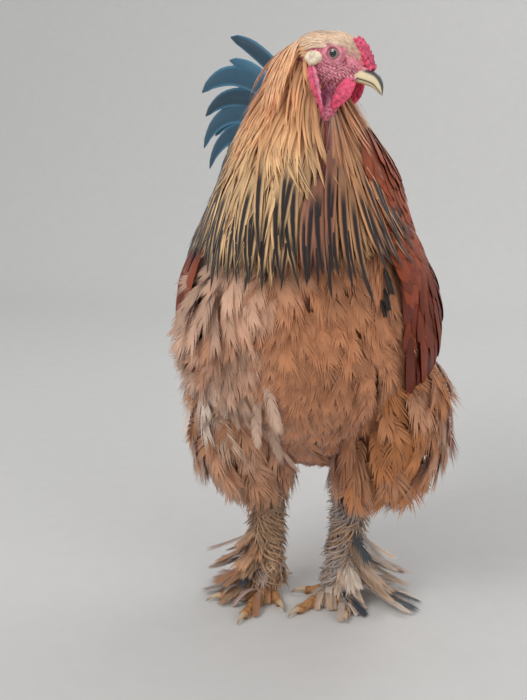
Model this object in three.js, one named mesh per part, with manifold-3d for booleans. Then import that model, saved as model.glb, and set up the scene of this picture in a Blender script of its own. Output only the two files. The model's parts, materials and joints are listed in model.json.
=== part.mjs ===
// A life-size Brahma cock in buff, gold and mahogany, standing and looking to its left.
// Millimetres, +Z up. The bird faces -Y, its left is +X, and the floor is Z = 0.
// The trunk and neck are one loft, parted by thin cuts. Long feathers are flat vanes laid over it in tiers.
import * as THREE from "three";
import Module from "manifold-3d";

const wasm = await Module();
wasm.setup();

// Driving sizes
const GAP = 0.6; // between neighbouring pieces
const STANCE_SHIFT = new THREE.Vector3(14, -74, 0); // from between the ankles to the middle of the outline
const HACKLE_TIERS = 3;
const HACKLE_LOCKS = 13; // in each tier
const VANE_THICKNESS = 1.3;
const EYE_RADIUS = 8;
const EYE_OFFSET = 14.5; // eyeball centre from the head's middle
const HEAD_CENTRE = new THREE.Vector3(37, -77, 595); // between the eyes
const HEAD_YAW = -15; // from +X, so it looks to its own left
const HEAD_PITCH = 18; // beak down
const ANKLES = { left: new THREE.Vector3(36, 18, 24), right: new THREE.Vector3(-45, 6, 24) };
const HOCKS = { left: new THREE.Vector3(48, 36, 152), right: new THREE.Vector3(-48, 28, 152) };
const FOOT_HEADINGS = { left: 34, right: -13 }; // middle toe, turned in from straight ahead
const TAIL_ROOT = new THREE.Vector3(0, 170, 440);

const X = new THREE.Vector3(1, 0, 0);
const Z = new THREE.Vector3(0, 0, 1);
const radians = THREE.MathUtils.degToRad;
const mix = THREE.MathUtils.lerp;
const smooth = (t, low = 0, high = 1) => THREE.MathUtils.smoothstep(t, low, high);
const point = (x, y, z) => new THREE.Vector3(x, y, z);

function seededRandom(seed) {
  return () => {
    seed = (seed + 0x6d2b79f5) | 0;
    let t = Math.imul(seed ^ (seed >>> 15), 1 | seed);
    t = (t + Math.imul(t ^ (t >>> 7), 61 | t)) ^ t;
    return ((t ^ (t >>> 14)) >>> 0) / 4294967296;
  };
}

// A smooth row of values between the rows of a table, at a fractional row number
function rowAt(rows, at) {
  const t = THREE.MathUtils.clamp(at, 0, rows.length - 1);
  const i = Math.min(Math.floor(t), rows.length - 2);
  const f = t - i;
  const before = rows[i - 1] ?? rows[0].map((v, k) => 2 * v - rows[1][k]);
  const last = rows.length - 1;
  const after = rows[i + 2] ?? rows[last].map((v, k) => 2 * v - rows[last - 1][k]);
  return rows[i].map((b, k) => {
    const [a, c, d] = [before[k], rows[i + 1][k], after[k]];
    return b + 0.5 * f * (c - a + f * (2 * a - 5 * b + 4 * c - d + f * (3 * (b - c) + d - a)));
  });
}

// Rings of points joined into one closed surface. Quads from edge number flipFrom on are split the other
// way, so that the two faces of a vane get the same triangles.
function ringGeometry(rings, flipFrom = Infinity) {
  const n = rings[0].length;
  const positions = rings.flat().flatMap((p) => [p.x, p.y, p.z]);
  const index = [];
  for (let i = 0; i < rings.length - 1; i++) {
    for (let j = 0; j < n; j++) {
      const a = i * n + j;
      const b = i * n + ((j + 1) % n);
      const [c, d] = [b + n, a + n];
      index.push(...(j >= flipFrom ? [a, b, d, b, c, d] : [a, b, c, a, c, d]));
    }
  }
  for (const [ring, start] of [[rings[0], 0], [rings.at(-1), (rings.length - 1) * n]]) {
    const centre = ring.reduce((sum, p) => sum.add(p), point(0, 0, 0)).divideScalar(n);
    const middle = positions.length / 3;
    if (n > 4) positions.push(centre.x, centre.y, centre.z);
    for (let j = 0; j < n; j++) {
      const [a, b] = [start + j, start + ((j + 1) % n)];
      if (n > 4) index.push(...(start ? [a, b, middle] : [b, a, middle]));
    }
    if (n === 4) {
      const [a, b, c, d] = [start, start + 1, start + 2, start + 3];
      index.push(...(start ? [a, b, c, a, c, d] : [c, b, a, d, c, a]));
    }
  }
  return new THREE.BufferGeometry()
    .setAttribute("position", new THREE.BufferAttribute(new Float32Array(positions), 3))
    .setIndex(index);
}

function manifoldOf(geometry) {
  const position = geometry.getAttribute("position").array;
  const triangles = new Uint32Array(geometry.index.array);
  const make = () =>
    new wasm.Manifold(new wasm.Mesh({ numProp: 3, vertProperties: position, triVerts: triangles }));
  const made = make();
  if (made.volume() > 0) return made;
  for (let i = 0; i < triangles.length; i += 3)
    [triangles[i + 1], triangles[i + 2]] = [triangles[i + 2], triangles[i + 1]];
  return make();
}

const ringSolid = (rings, flipFrom) => manifoldOf(ringGeometry(rings, flipFrom));

// A ball of three radii, from rings of a sphere
function ellipsoid(centre, radii, around = 12, along = 8, turn = new THREE.Quaternion()) {
  const rings = [];
  for (let i = 0; i < along; i++) {
    const polar = (Math.PI * (i + 0.35)) / (along - 0.3);
    rings.push(
      Array.from({ length: around }, (_, j) => {
        const angle = (2 * Math.PI * j) / around;
        return point(
          radii[0] * Math.cos(polar),
          radii[1] * Math.sin(polar) * Math.cos(angle),
          radii[2] * Math.sin(polar) * Math.sin(angle),
        ).applyQuaternion(turn).add(centre);
      }),
    );
  }
  return ringSolid(rings);
}

// A round limb along a curve, its radii given by a function of the share of the length
function limb(curve, radii, around = 10, steps = 8) {
  const rings = [];
  for (let i = 0; i <= steps; i++) {
    const s = i / steps;
    const tangent = curve.getTangent(s);
    const side = X.clone().addScaledVector(tangent, -X.dot(tangent));
    if (side.length() < 0.2) side.set(0, 1, 0).addScaledVector(tangent, -tangent.y);
    side.normalize();
    const other = tangent.clone().cross(side);
    const [r, flat] = radii(s);
    rings.push(
      Array.from({ length: around }, (_, j) => {
        const angle = (2 * Math.PI * j) / around;
        return curve.getPoint(s)
          .addScaledVector(side, r * Math.cos(angle))
          .addScaledVector(other, r * flat * Math.sin(angle));
      }),
    );
  }
  return ringSolid(rings);
}

const union = (solids) => wasm.Manifold.union(solids);
const largest = (solid) =>
  solid.decompose().sort((a, b) => b.volume() - a.volume())[0];

// The trunk and neck, as rings between a point on the front line and one on the back line:
// front y, front z, back y, back z, half width, sideways shift
const TRUNK_ROWS = [
  [-82, 602, -44, 600, 19, 8],
  [-93, 566, -34, 566, 32, 1],
  [-107, 520, -14, 520, 50, -1],
  [-122, 474, 4, 478, 64, 0],
  [-138, 412, 26, 448, 88, 0],
  [-142, 340, 50, 432, 114, 0],
  [-112, 258, 72, 426, 126, 0],
  [-40, 192, 92, 427, 124, 0],
  [50, 148, 112, 433, 114, 0],
  [132, 178, 131, 443, 96, 0],
  [184, 262, 147, 456, 72, 0],
  [194, 344, 159, 468, 48, 0],
  [188, 392, 168, 478, 28, 0],
];
const TRUNK_END = TRUNK_ROWS.length - 1;

function trunkBare(u, angle) {
  const [frontY, frontZ, backY, backZ, halfWidth, shift] = rowAt(TRUNK_ROWS, u);
  const lean = (1 + Math.cos(angle)) / 2;
  return point(
    shift + halfWidth * Math.sin(angle),
    mix(backY, frontY, lean),
    mix(backZ, frontZ, lean),
  );
}

// The outward direction of the trunk's surface
function trunkNormal(u, angle) {
  const step = 0.03;
  const along = trunkBare(u + step, angle).sub(trunkBare(u - step, angle));
  const round = trunkBare(u, angle + step).sub(trunkBare(u, angle - step));
  return along.cross(round).normalize();
}

const trunkPoint = (u, angle, lift = 0) =>
  trunkBare(u, angle).addScaledVector(trunkNormal(u, angle), lift);

// Where the wing lies: its middle line, half height and outer face, by the share of its length
const WING = { start: 4.35, end: 8.9, bed: 8 };
const wingShare = (u) => (u - WING.start) / (WING.end - WING.start);
const wingMiddle = (a) => radians(mix(99, 92, a));
const wingHalf = (a) => radians(mix(12, 34, smooth(a, 0, 0.3)) * (1 - 0.72 * smooth(a, 0.35, 1)));
const wingLift = (a) => mix(0, 5, smooth(a, 0, 0.5)) - 3 * smooth(a, 0.6, 1);

// How deep the trunk is hollowed under a folded wing
function wingBed(u, angle) {
  const a = wingShare(u);
  const side = Math.abs(Math.atan2(Math.sin(angle), Math.cos(angle)));
  const off = Math.abs(side - wingMiddle(a)) / wingHalf(THREE.MathUtils.clamp(a, 0.1, 1));
  return WING.bed * smooth(a, 0.02, 0.3) * (1 - smooth(a, 0.75, 1)) * (1 - smooth(off, 0.4, 1.05));
}

function trunkSolid(grow = 0, from = 0) {
  const around = 22;
  const steps = 22;
  const rings = [];
  for (let i = 0; i <= steps; i++) {
    const u = mix(from, TRUNK_END, i / steps);
    rings.push(
      Array.from({ length: around }, (_, j) => {
        const angle = (2 * Math.PI * j) / around;
        return trunkPoint(u, angle, grow - wingBed(u, angle));
      }),
    );
  }
  return ringSolid(rings);
}

// A flat tapered feather or lock. path(s) and across(s) give its middle line and its width direction.
const LOCK_FORM = [[0, 0.5], [0.13, 0.85], [0.5, 1], [0.84, 0.75], [1, 0.1]];
const ROUND_FORM = [[0, 0.4], [0.14, 0.62], [0.5, 1], [0.87, 0.86], [1, 0.35]];
const SICKLE_FORM = [[0, 0.3], [0.2, 0.8], [0.42, 1], [0.64, 0.92], [0.84, 0.62], [1, 0.1]];

function vane(path, across, width, { form = LOCK_FORM, thickness = VANE_THICKNESS, grow = 0 } = {}) {
  const step = 0.02;
  const rings = form.map(([s, share]) => {
    const low = Math.max(s - step, 0);
    const tangent = path(Math.min(low + 2 * step, 1)).sub(path(low)).normalize();
    const side = across(s).addScaledVector(tangent, -across(s).dot(tangent)).normalize();
    const up = side.clone().cross(tangent);
    const half = (share * (typeof width === "function" ? width(s) : width)) / 2 + grow;
    const thick = mix(thickness, 0.55 * thickness, s) / 2 + grow;
    const at = (w, h) => path(s).addScaledVector(side, w).addScaledVector(up, h);
    return [at(-half, thick), at(half, thick), at(half, -thick), at(-half, -thick)];
  });
  return ringSolid(rings, 2);
}

// A feather laid on the trunk from one [ring, angle] to another, at a height over it, tilted like a shingle
function laidVane(from, to, lift, width, { tilt = 0, ...options } = {}) {
  const place = (s) => [mix(from[0], to[0], s), mix(from[1], to[1], s)];
  const path = (s) => trunkPoint(...place(s), lift(s));
  const across = (s) => {
    const along = path(Math.min(s + 0.05, 1)).sub(path(Math.max(s - 0.05, 0)));
    const normal = trunkNormal(...place(s));
    return normal.clone().cross(along).normalize().addScaledVector(normal, tilt);
  };
  return vane(path, across, width, options);
}

// Neck hackle: tiers of locks from the nape and the sides of the neck down over the shoulders
const CAPE_LIFTS = [[1], [9], [21], [22], [14], [10], [10]]; // outermost tier over the trunk, by ring
const TIER_STEP = 5.2; // clears the edges of the flat locks of the tier below

function hackleLocks(grow = 0) {
  const random = seededRandom(11);
  const locks = [];
  const pitch = (2 * Math.PI) / HACKLE_LOCKS;
  for (let tier = 0; tier < HACKLE_TIERS; tier++) {
    const inner = HACKLE_TIERS - 1 - tier;
    for (let k = 0; k < HACKLE_LOCKS; k++) {
      const angle = pitch * (k + 0.5 * (tier % 2));
      const back = (1 - Math.cos(angle)) / 2;
      const throat = Math.max(0, Math.cos(angle - radians(32))) ** 2;
      const root = mix(2.5, 0.5, tier / (HACKLE_TIERS - 1)) + mix(1.1, 0.2, inner / 2) * throat;
      const tip = 4.5 + 0.9 * back ** 1.5 - 0.3 * tier + 0.18 * (random() - 0.5);
      const u = (s) => mix(root, tip, s);
      const stand = mix(0.6, 1, smooth(back, 0, 0.35));
      const lift = (s) => {
        const outer = Math.max(rowAt(CAPE_LIFTS, u(s))[0] * stand, 2.5 + TIER_STEP * (HACKLE_TIERS - 1));
        return mix(-5, outer - TIER_STEP * inner, smooth(s, -0.04, 0.13));
      };
      const width = (s) =>
        0.84 * trunkPoint(u(s), angle + pitch / 2, 10).distanceTo(trunkPoint(u(s), angle - pitch / 2, 10));
      locks.push(laidVane([root, angle], [tip, angle], lift, width, { grow }));
    }
  }
  return locks;
}

// Tiers of a wing from the flight feathers to the small coverts: how many, where their roots and tips are
// along the wing, width, height over it, how far they spread over it and how far they droop to the tip
const WING_TIERS = [
  { count: 5, root: 0.36, tip: 1.08, width: 26, over: 2.4, spread: 0.84, droop: -0.12 },
  { count: 4, root: 0.21, tip: 0.68, width: 29, over: 5.8, spread: 0.78, droop: -0.06 },
  { count: 3, root: 0.07, tip: 0.42, width: 32, over: 9.2, spread: 0.66, droop: -0.03 },
];

// Folded wing: a plate carved to the trunk, with tiers of coverts and flight feathers on it
function wingPlate(side, { grow = 0, cover = 0, margin = 0, reach = 0.98 } = {}) {
  const around = 6;
  const rings = [];
  const steps = 8;
  for (let i = 0; i <= steps; i++) {
    const a = mix(0.02, reach, i / steps);
    const u = mix(WING.start, WING.end, a) + 0.02 * grow * (2 * (i / steps) - 1);
    const rim = Math.sqrt(Math.sin(Math.PI * mix(0.04, 0.96, i / steps)));
    rings.push(
      Array.from({ length: 2 * around }, (_, j) => {
        const outer = j < around;
        const b = outer ? mix(-1, 1, j / (around - 1)) : mix(1, -1, (j - around) / (around - 1));
        const dome = Math.min(1, 2 * Math.sqrt(1 - b * b));
        const top = wingLift(a) - 2.4 * smooth(a, 0.1, 0.4) + cover;
        const lift = outer ? mix(-4, top, dome) + grow : -WING.bed - 3;
        const reachOut = wingHalf(a) * mix(0.55, 1, rim) + margin + 0.015 * grow;
        return trunkPoint(u, side * (wingMiddle(a) + b * reachOut), lift);
      }),
    );
  }
  return ringSolid(rings);
}

function wingSolid(side) {
  const random = seededRandom(23);
  const feathers = [wingPlate(side)];
  for (const { count, root, tip, width, over, spread, droop } of WING_TIERS) {
    for (let k = 0; k < count; k++) {
      const b = mix(-1, 1, (k + 0.5) / count) * spread;
      const end = tip - 0.1 * Math.abs(b + 0.3) + 0.03 * random();
      const place = (a, height) => [
        mix(WING.start, WING.end, a),
        side * (wingMiddle(a) + height * wingHalf(a)),
      ];
      const lift = (s) =>
        wingLift(mix(root, end, s)) + mix(-5, over, smooth(s, -0.04, 0.15));
      feathers.push(
        laidVane(place(root, b * 0.8), place(end, b + droop), lift, width, {
          form: ROUND_FORM,
          thickness: 1.1,
          tilt: side * 0.17,
        }),
      );
    }
  }
  return union(feathers);
}

// Rows of saddle hackle from the rump forward: ring, how many a side, height over the back
const SADDLE_ROWS = [
  { at: 8.6, count: 3, over: 2.5 },
  { at: 7, count: 3, over: 7.5 },
];

// Saddle: a cushion on the back with hackles that fall to each side of the rump
function saddlePlate({ grow = 0, cover = 0, margin = 0 } = {}) {
  const rings = [];
  const steps = 8;
  const around = 7;
  for (let i = 0; i <= steps; i++) {
    const a = i / steps;
    const u = mix(6.2, 10.5, a) + 0.03 * grow * (2 * a - 1);
    const reach = radians(mix(14, 42, Math.sin(Math.PI * mix(0.12, 0.9, a)))) + 0.02 * grow + margin;
    rings.push(
      Array.from({ length: 2 * around }, (_, j) => {
        const outer = j < around;
        const b = outer ? mix(-1, 1, j / (around - 1)) : mix(1, -1, (j - around) / (around - 1));
        const dome = Math.sqrt(1 - b * b) * Math.sin(Math.PI * mix(0.06, 0.94, a)) ** 0.5;
        return trunkPoint(u, Math.PI + b * reach, outer ? mix(0.4, 1.6 + cover, dome) + grow : -4);
      }),
    );
  }
  return ringSolid(rings);
}

function saddleSolid() {
  const random = seededRandom(37);
  const locks = [saddlePlate()];
  for (const { at, count, over } of SADDLE_ROWS) {
    for (const side of [-1, 1]) {
      for (let k = 0; k < count; k++) {
        const share = (k + 0.5) / count;
        const from = Math.PI + side * radians(mix(3, 40, share));
        const to = Math.PI + side * radians(mix(10, 100, share));
        const length = mix(1.7, 2.3, share) + 0.15 * random();
        const lift = (s) => mix(-4, over + 3, smooth(s, -0.04, 0.14)) - 2 * s;
        const pitch = radians(90 / count);
        const turn = (s) => mix(from, to, s);
        const width = (s) => {
          const u = Math.min(mix(at, at + length, s), TRUNK_END);
          const spread = mix(0.41, 1, s) * pitch;
          return 0.84 * trunkPoint(u, turn(s) + spread / 2).distanceTo(trunkPoint(u, turn(s) - spread / 2));
        };
        locks.push(laidVane([at, from], [Math.min(at + length, 10.85), to], lift, width));
      }
    }
  }
  return union(locks);
}

// Tail: each side is a fan of flat feathers, one plane over the other like cards, and the two sides form a
// tent that leans over to the right. In a side's own plane `up` runs along the ridge of the tent and `out` down
// its slope, and `over` is the height above the plane.
const TAIL_SLOPE = { left: radians(16), right: radians(44) };
const TAIL_LEAN = radians(-20); // to the right
const TAIL_RAKE = radians(18); // of the ridge, from upright
const TAIL_STEP = 2.6; // between one feather's plane and the next

// Sickles of each side: start and end angles from the ridge, length, width
const SICKLES = {
  left: [[-6, 72, 150, 24], [8, 100, 140, 24], [34, 120, 145, 24], [58, 140, 140, 24]],
  right: [[-16, 46, 232, 26], [-8, 104, 268, 28], [6, 132, 256, 26], [26, 146, 218, 24]],
};

function tailPoint(side, up, out, over) {
  const slope = side > 0 ? TAIL_SLOPE.left : TAIL_SLOPE.right;
  const ridge = point(0, Math.sin(TAIL_RAKE), Math.cos(TAIL_RAKE));
  const behind = point(0, Math.cos(TAIL_RAKE), -Math.sin(TAIL_RAKE));
  const reach = Math.hypot(up, out);
  const flare = 0.0009 * reach * reach;
  return point(side * 2, 0, 0)
    .addScaledVector(ridge, up)
    .addScaledVector(behind, out * Math.cos(slope) - (over + flare) * Math.sin(slope))
    .addScaledVector(X, side * (out * Math.sin(slope) + (over + flare) * Math.cos(slope)))
    .applyAxisAngle(point(0, 1, 0), TAIL_LEAN)
    .add(TAIL_ROOT);
}

// start and end angles from the ridge, length, width, how much it curls over in its plane
function tailFeather(side, over, { from, to, length, width, form = ROUND_FORM, start = 8 }, grow) {
  const heading = (s) => radians(mix(from, to, s ** 1.8));
  const steps = 24;
  const spots = [[start * Math.cos(heading(0)), start * Math.sin(heading(0))]];
  for (let i = 1; i <= steps; i++) {
    const turn = heading((i - 0.5) / steps);
    const [up, out] = spots[i - 1];
    spots.push([up + (length / steps) * Math.cos(turn), out + (length / steps) * Math.sin(turn)]);
  }
  const path = (s) => {
    const [up, out] = rowAt(spots, s * steps);
    return tailPoint(side, up, out, over);
  };
  const across = (s) => {
    const [up, out] = rowAt(spots, s * steps);
    const turn = heading(s);
    const near = tailPoint(side, up, out, over);
    return tailPoint(side, up - Math.sin(turn), out + Math.cos(turn), over).sub(near);
  };
  return vane(path, across, width, { form, thickness: 1.3, grow });
}

function tailVanes(grow = 0) {
  const vanes = [];
  for (const side of [-1, 1]) {
    let over = 0;
    const add = (feather) => {
      vanes.push(tailFeather(side, over, feather, grow));
      over += TAIL_STEP;
    };
    for (let k = 4; k >= 0; k--)
      add({ from: 4 + 16 * k, to: 10 + 18 * k, length: 158 - 9 * k, width: 46 });
    for (const [from, to, length, width] of SICKLES[side < 0 ? "right" : "left"])
      add({ from, to, length, width, form: SICKLE_FORM });
    for (let k = 2; k >= 0; k--)
      add({ from: 6 + 34 * k, to: 38 + 38 * k, length: 92 + 4 * k, width: 44, start: 4 });
  }
  return vanes;
}

// Head. Its own frame: +X forward, +Y to its left, +Z up, with the middle of the eyes at the origin.
const HEAD_TURN = new THREE.Matrix4()
  .makeRotationZ(radians(HEAD_YAW))
  .multiply(new THREE.Matrix4().makeRotationY(radians(HEAD_PITCH)))
  .setPosition(HEAD_CENTRE);
const toWorld = (solid) => solid.transform(HEAD_TURN.elements);
const headPoint = (f, l, u) => point(f, l, u).applyMatrix4(HEAD_TURN);

// forward, centre height, half width, up, down
const SKULL_ROWS = [
  [-40, -8, 11, 12, 13],
  [-29, -5, 18, 16.5, 22],
  [-17, -3, 22, 20.5, 30],
  [-4, -2, 21.5, 24, 32],
  [8, -3, 18.5, 24, 27],
  [18, -5, 14.5, 18, 19],
  [26, -7, 11.5, 12, 12],
  [32, -9, 8.5, 8, 8],
];

function skullSolid(grow = 0) {
  const around = 16;
  const steps = 12;
  const rings = [];
  for (let i = 0; i <= steps; i++) {
    const [f, height, half, up, down] = rowAt(SKULL_ROWS, ((SKULL_ROWS.length - 1) * i) / steps);
    rings.push(
      Array.from({ length: around }, (_, j) => {
        const angle = (2 * Math.PI * j) / around;
        const rise = Math.sin(angle);
        return point(f, (half + grow) * Math.cos(angle), height + rise * (grow + (rise > 0 ? up : down)));
      }),
    );
  }
  return ringSolid(rings);
}

// The bare throat, from under the jaw down into the front of the neck
function throatSolid(grow = 0) {
  const curve = new THREE.CatmullRomCurve3([
    headPoint(6, 0, -8),
    headPoint(6, 0, -34),
    point(27, -88, 540),
    point(16, -84, 512),
  ]);
  return limb(curve, (s) => [mix(17, 21, s) + grow, 0.95], 12, 5);
}

function lidRing(side, grow = 0) {
  const ring = new THREE.TorusGeometry(6.3, 1.5 + grow, 5, 12);
  ring.scale(1.08, 0.96, 1);
  ring.rotateX(-Math.PI / 2);
  ring.rotateZ(side * radians(6));
  ring.translate(0.3, side * 20.9, 0.2);
  const merged = new Map();
  const places = ring.getAttribute("position");
  const vertices = [];
  const names = Array.from({ length: places.count }, (_, i) => {
    const p = [places.getX(i), places.getY(i), places.getZ(i)];
    const key = p.map((v) => v.toFixed(3)).join();
    if (!merged.has(key)) {
      merged.set(key, vertices.length / 3);
      vertices.push(...p);
    }
    return merged.get(key);
  });
  const joined = new THREE.BufferGeometry()
    .setAttribute("position", new THREE.BufferAttribute(new Float32Array(vertices), 3))
    .setIndex(Array.from(ring.index.array, (i) => names[i]));
  return manifoldOf(joined);
}

function eyeSolid(side, grow = 0) {
  const r = EYE_RADIUS + grow;
  const poleOutward = new THREE.Quaternion().setFromAxisAngle(Z, Math.PI / 2);
  return ellipsoid(point(0, side * EYE_OFFSET, 0), [r, r, r], 12, 7, poleOutward);
}

// The upper beak hooks over the lower one, and the mouth is the slit between them
const MOUTH = new THREE.CatmullRomCurve3([
  point(21, 0, -15.3), point(30, 0, -14.6), point(40, 0, -15), point(47, 0, -19), point(50.5, 0, -23),
]);
// share of the mouth line, height from it, half width
const UPPER_BEAK = [
  [0, 11, 9.5], [0.3, 10.8, 8.6], [0.55, 9.4, 7], [0.78, 7, 4.8], [0.92, 4, 2.6], [1, 1.6, 0.8],
];
const LOWER_BEAK = [[0, 7.5, 9], [0.35, 7.6, 7.8], [0.62, 6.6, 5.6], [0.8, 4, 3.6], [0.88, 1.6, 1.8]];

function beakSolid(upper, grow = 0) {
  const rows = upper ? UPPER_BEAK : LOWER_BEAK;
  const steps = 7;
  const around = 9;
  const sign = upper ? 1 : -1;
  const rings = [];
  for (let i = 0; i <= steps; i++) {
    const [s, height, width] = rowAt(rows, ((rows.length - 1) * i) / steps);
    const centre = MOUTH.getPoint(Math.min(s, 1));
    rings.push(
      Array.from({ length: around }, (_, j) => {
        const angle = (Math.PI * j) / (around - 1);
        const rise = Math.sin(angle) ** 0.85;
        const side = Math.cos(angle);
        return point(
          centre.x + (i === steps ? grow : 0),
          side * (width + grow),
          centre.z + sign * (0.24 - (rise > 0.01 ? 0 : grow) + rise * (height + grow)),
        );
      }),
    );
  }
  return ringSolid(rings);
}

// Pea comb: a low base down the forehead with three rows of beads, the middle row highest
function combSolid(grow = 0) {
  const line = new THREE.CatmullRomCurve3([
    point(9, 0, 20), point(18, 0, 15), point(26, 0, 7.5), point(34, 0, -1),
  ]);
  const base = limb(line, (s) => [2.6 + 3.4 * Math.sin(Math.PI * mix(0.12, 0.92, s)) + grow, 0.72], 8, 5);
  const beads = [base];
  for (const [row, size, count] of [[-1, 3.6, 4], [0, 4.2, 5], [1, 3.6, 4]]) {
    for (let k = 0; k < count; k++) {
      const s = mix(0.03, 0.97, k / (count - 1));
      const tangent = line.getTangent(s);
      const up = point(-tangent.z, 0, tangent.x);
      const bulk = size * (0.74 + 0.34 * Math.sin(Math.PI * mix(0.1, 0.95, s))) + grow;
      const centre = line.getPoint(s)
        .addScaledVector(up, row ? 1.2 : 2.8 + 0.5 * (k % 2))
        .add(point(0, row * 4.8 * mix(1, 0.68, s), 0));
      beads.push(ellipsoid(centre, [bulk * 0.9, bulk * 0.85, bulk], row ? 5 : 6, 4));
    }
  }
  return union(beads);
}

// A hanging flap of bare skin: wattle or lappet, with shallow folds
function flapSolid(top, bottom, width, thickness, outward, folds = 0, grow = 0) {
  const steps = 6;
  const around = 8;
  const rings = [];
  const down = bottom.clone().sub(top);
  const across = down.clone().cross(outward).normalize();
  for (let i = 0; i <= steps; i++) {
    const s = i / steps;
    const share = Math.sin(Math.PI * mix(0.16, 0.955, s ** 0.85)) ** 0.75;
    rings.push(
      Array.from({ length: around }, (_, j) => {
        const angle = (2 * Math.PI * j) / around;
        const wave = folds * Math.sin(3 * angle + 5 * s) + 2.5 * Math.sin(Math.PI * s);
        return top.clone()
          .addScaledVector(down, s)
          .addScaledVector(across, ((width / 2) * share + grow) * Math.cos(angle))
          .addScaledVector(outward, ((thickness / 2) * share + grow) * Math.sin(angle) + wave);
      }),
    );
  }
  return ringSolid(rings);
}

const earlobe = (side, grow = 0) =>
  ellipsoid(point(-17.5, side * 22.5, -13), [9.5 + grow, 4.6 + grow, 7.6 + grow], 9, 6);

function lappet(side, grow = 0) {
  const [top, bottom] = [point(-19, side * 23, -18), point(10, side * 24, -64)];
  return flapSolid(top, bottom, 11, 5, point(0, side, 0), 0.3, grow);
}

function wattle(side, grow = 0) {
  const [top, bottom] = [point(24, side * 9, -20), point(19, side * 12, -54)];
  return flapSolid(top, bottom, 18, 5.5, point(0.15, side, 0).normalize(), 0.5, grow);
}

const nostril = (side) => ellipsoid(point(31.5, side * 8.4, -7), [2.6, 2.4, 1.1], 8, 6);

// Thighs: the fluffy part of each leg, x, y, z, half width, half depth
const THIGH_ROWS = {
  left: [
    [66, 6, 312, 50, 62], [84, 4, 268, 63, 76], [91, 6, 226, 61, 78],
    [88, 12, 186, 60, 72], [80, 18, 152, 54, 60], [68, 24, 130, 38, 42], [58, 28, 120, 20, 22],
  ],
  right: [
    [-66, 6, 312, 48, 62], [-76, 4, 268, 56, 76], [-78, 6, 226, 54, 78],
    [-76, 12, 186, 53, 70], [-70, 18, 152, 48, 56], [-60, 22, 130, 34, 38], [-53, 24, 121, 18, 20],
  ],
};

function thighSolid(leg, grow = 0) {
  const rows = THIGH_ROWS[leg];
  const around = 16;
  const steps = 10;
  const rings = [];
  for (let i = 0; i <= steps; i++) {
    const s = i / steps;
    const [x, y, z, half, depth] = rowAt(rows, s * (rows.length - 1));
    rings.push(
      Array.from({ length: around }, (_, j) => {
        const angle = (2 * Math.PI * j) / around;
        const clump = 1 + 0.035 * Math.sin(3 * angle + 9 * s) * Math.sin(Math.PI * s);
        return point(
          x + (half * clump + grow) * Math.sin(angle),
          y - (depth * clump + grow) * Math.cos(angle),
          z + 0.06 * depth * Math.cos(angle) + (i === steps ? -grow : 0),
        );
      }),
    );
  }
  return ringSolid(rings);
}

// Shanks with their feathering: vanes from the outer side, fanned outward and down to the floor
function shankSolid(leg, grow = 0) {
  const random = seededRandom(leg === "left" ? 71 : 83);
  const outward = leg === "left" ? 1 : -1;
  const [hock, ankle] = [HOCKS[leg], ANKLES[leg]];
  const curve = new THREE.LineCurve3(hock, ankle);
  const pieces = [limb(curve, (s) => [mix(18, 11.5, smooth(s, 0, 0.7)) + grow, 1], 9, 3)];
  const rows = 3;
  const count = 3;
  for (let row = 0; row < rows; row++) {
    for (let k = 0; k < count; k++) {
      const place = (k + 0.5 * (row % 2) + 0.2 * random()) / count;
      const turn = radians(mix(-38, 104, place)); // from straight out towards the front
      const heading = point(outward * Math.cos(turn), -Math.sin(turn), 0);
      const down = row / (rows - 1);
      const root = hock.clone().lerp(ankle, mix(0.12, 0.92, down));
      const side = Math.cos(turn - radians(10)) ** 2;
      const reach = mix(52, leg === "left" ? 104 : 82, down);
      const length = mix(34, reach, side) * (0.9 + 0.2 * random());
      const drop = Math.min(root.z - 4 - 1.6 * row, mix(44, 30, side) + 8 * random());
      const path = (s) =>
        root.clone()
          .addScaledVector(heading, length * s * (1 - 0.1 * s))
          .add(point(0, 0, -drop * s ** 0.8 * (1.25 - 0.25 * s)));
      pieces.push(legFeather(path, heading, mix(24, 30, side), grow));
    }
  }
  return union(pieces);
}

function legFeather(path, heading, width, grow) {
  return vane(path, () => heading.clone().cross(Z), width, { form: ROUND_FORM, thickness: 1.2, grow });
}

// Toes: turn from the middle toe in degrees (positive turns in), length without the claw, thickness
const TOES = [
  { name: "inner", turn: 41, length: 32, radius: 7 },
  { name: "middle", turn: 0, length: 64, radius: 8 },
  { name: "outer", turn: -46, length: 52, radius: 7 },
  { name: "hind", turn: 168, length: 26, radius: 6 },
];
const CLAW_LENGTH = 14;

function toeHeading(leg, toe) {
  const inward = leg === "left" ? -1 : 1;
  const turn = radians(FOOT_HEADINGS[leg] + toe.turn);
  return point(inward * Math.sin(turn), -Math.cos(turn), 0);
}

const toeEnd = (leg, toe) =>
  ANKLES[leg].clone().setZ(4).addScaledVector(toeHeading(leg, toe), toe.length + 8);

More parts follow.
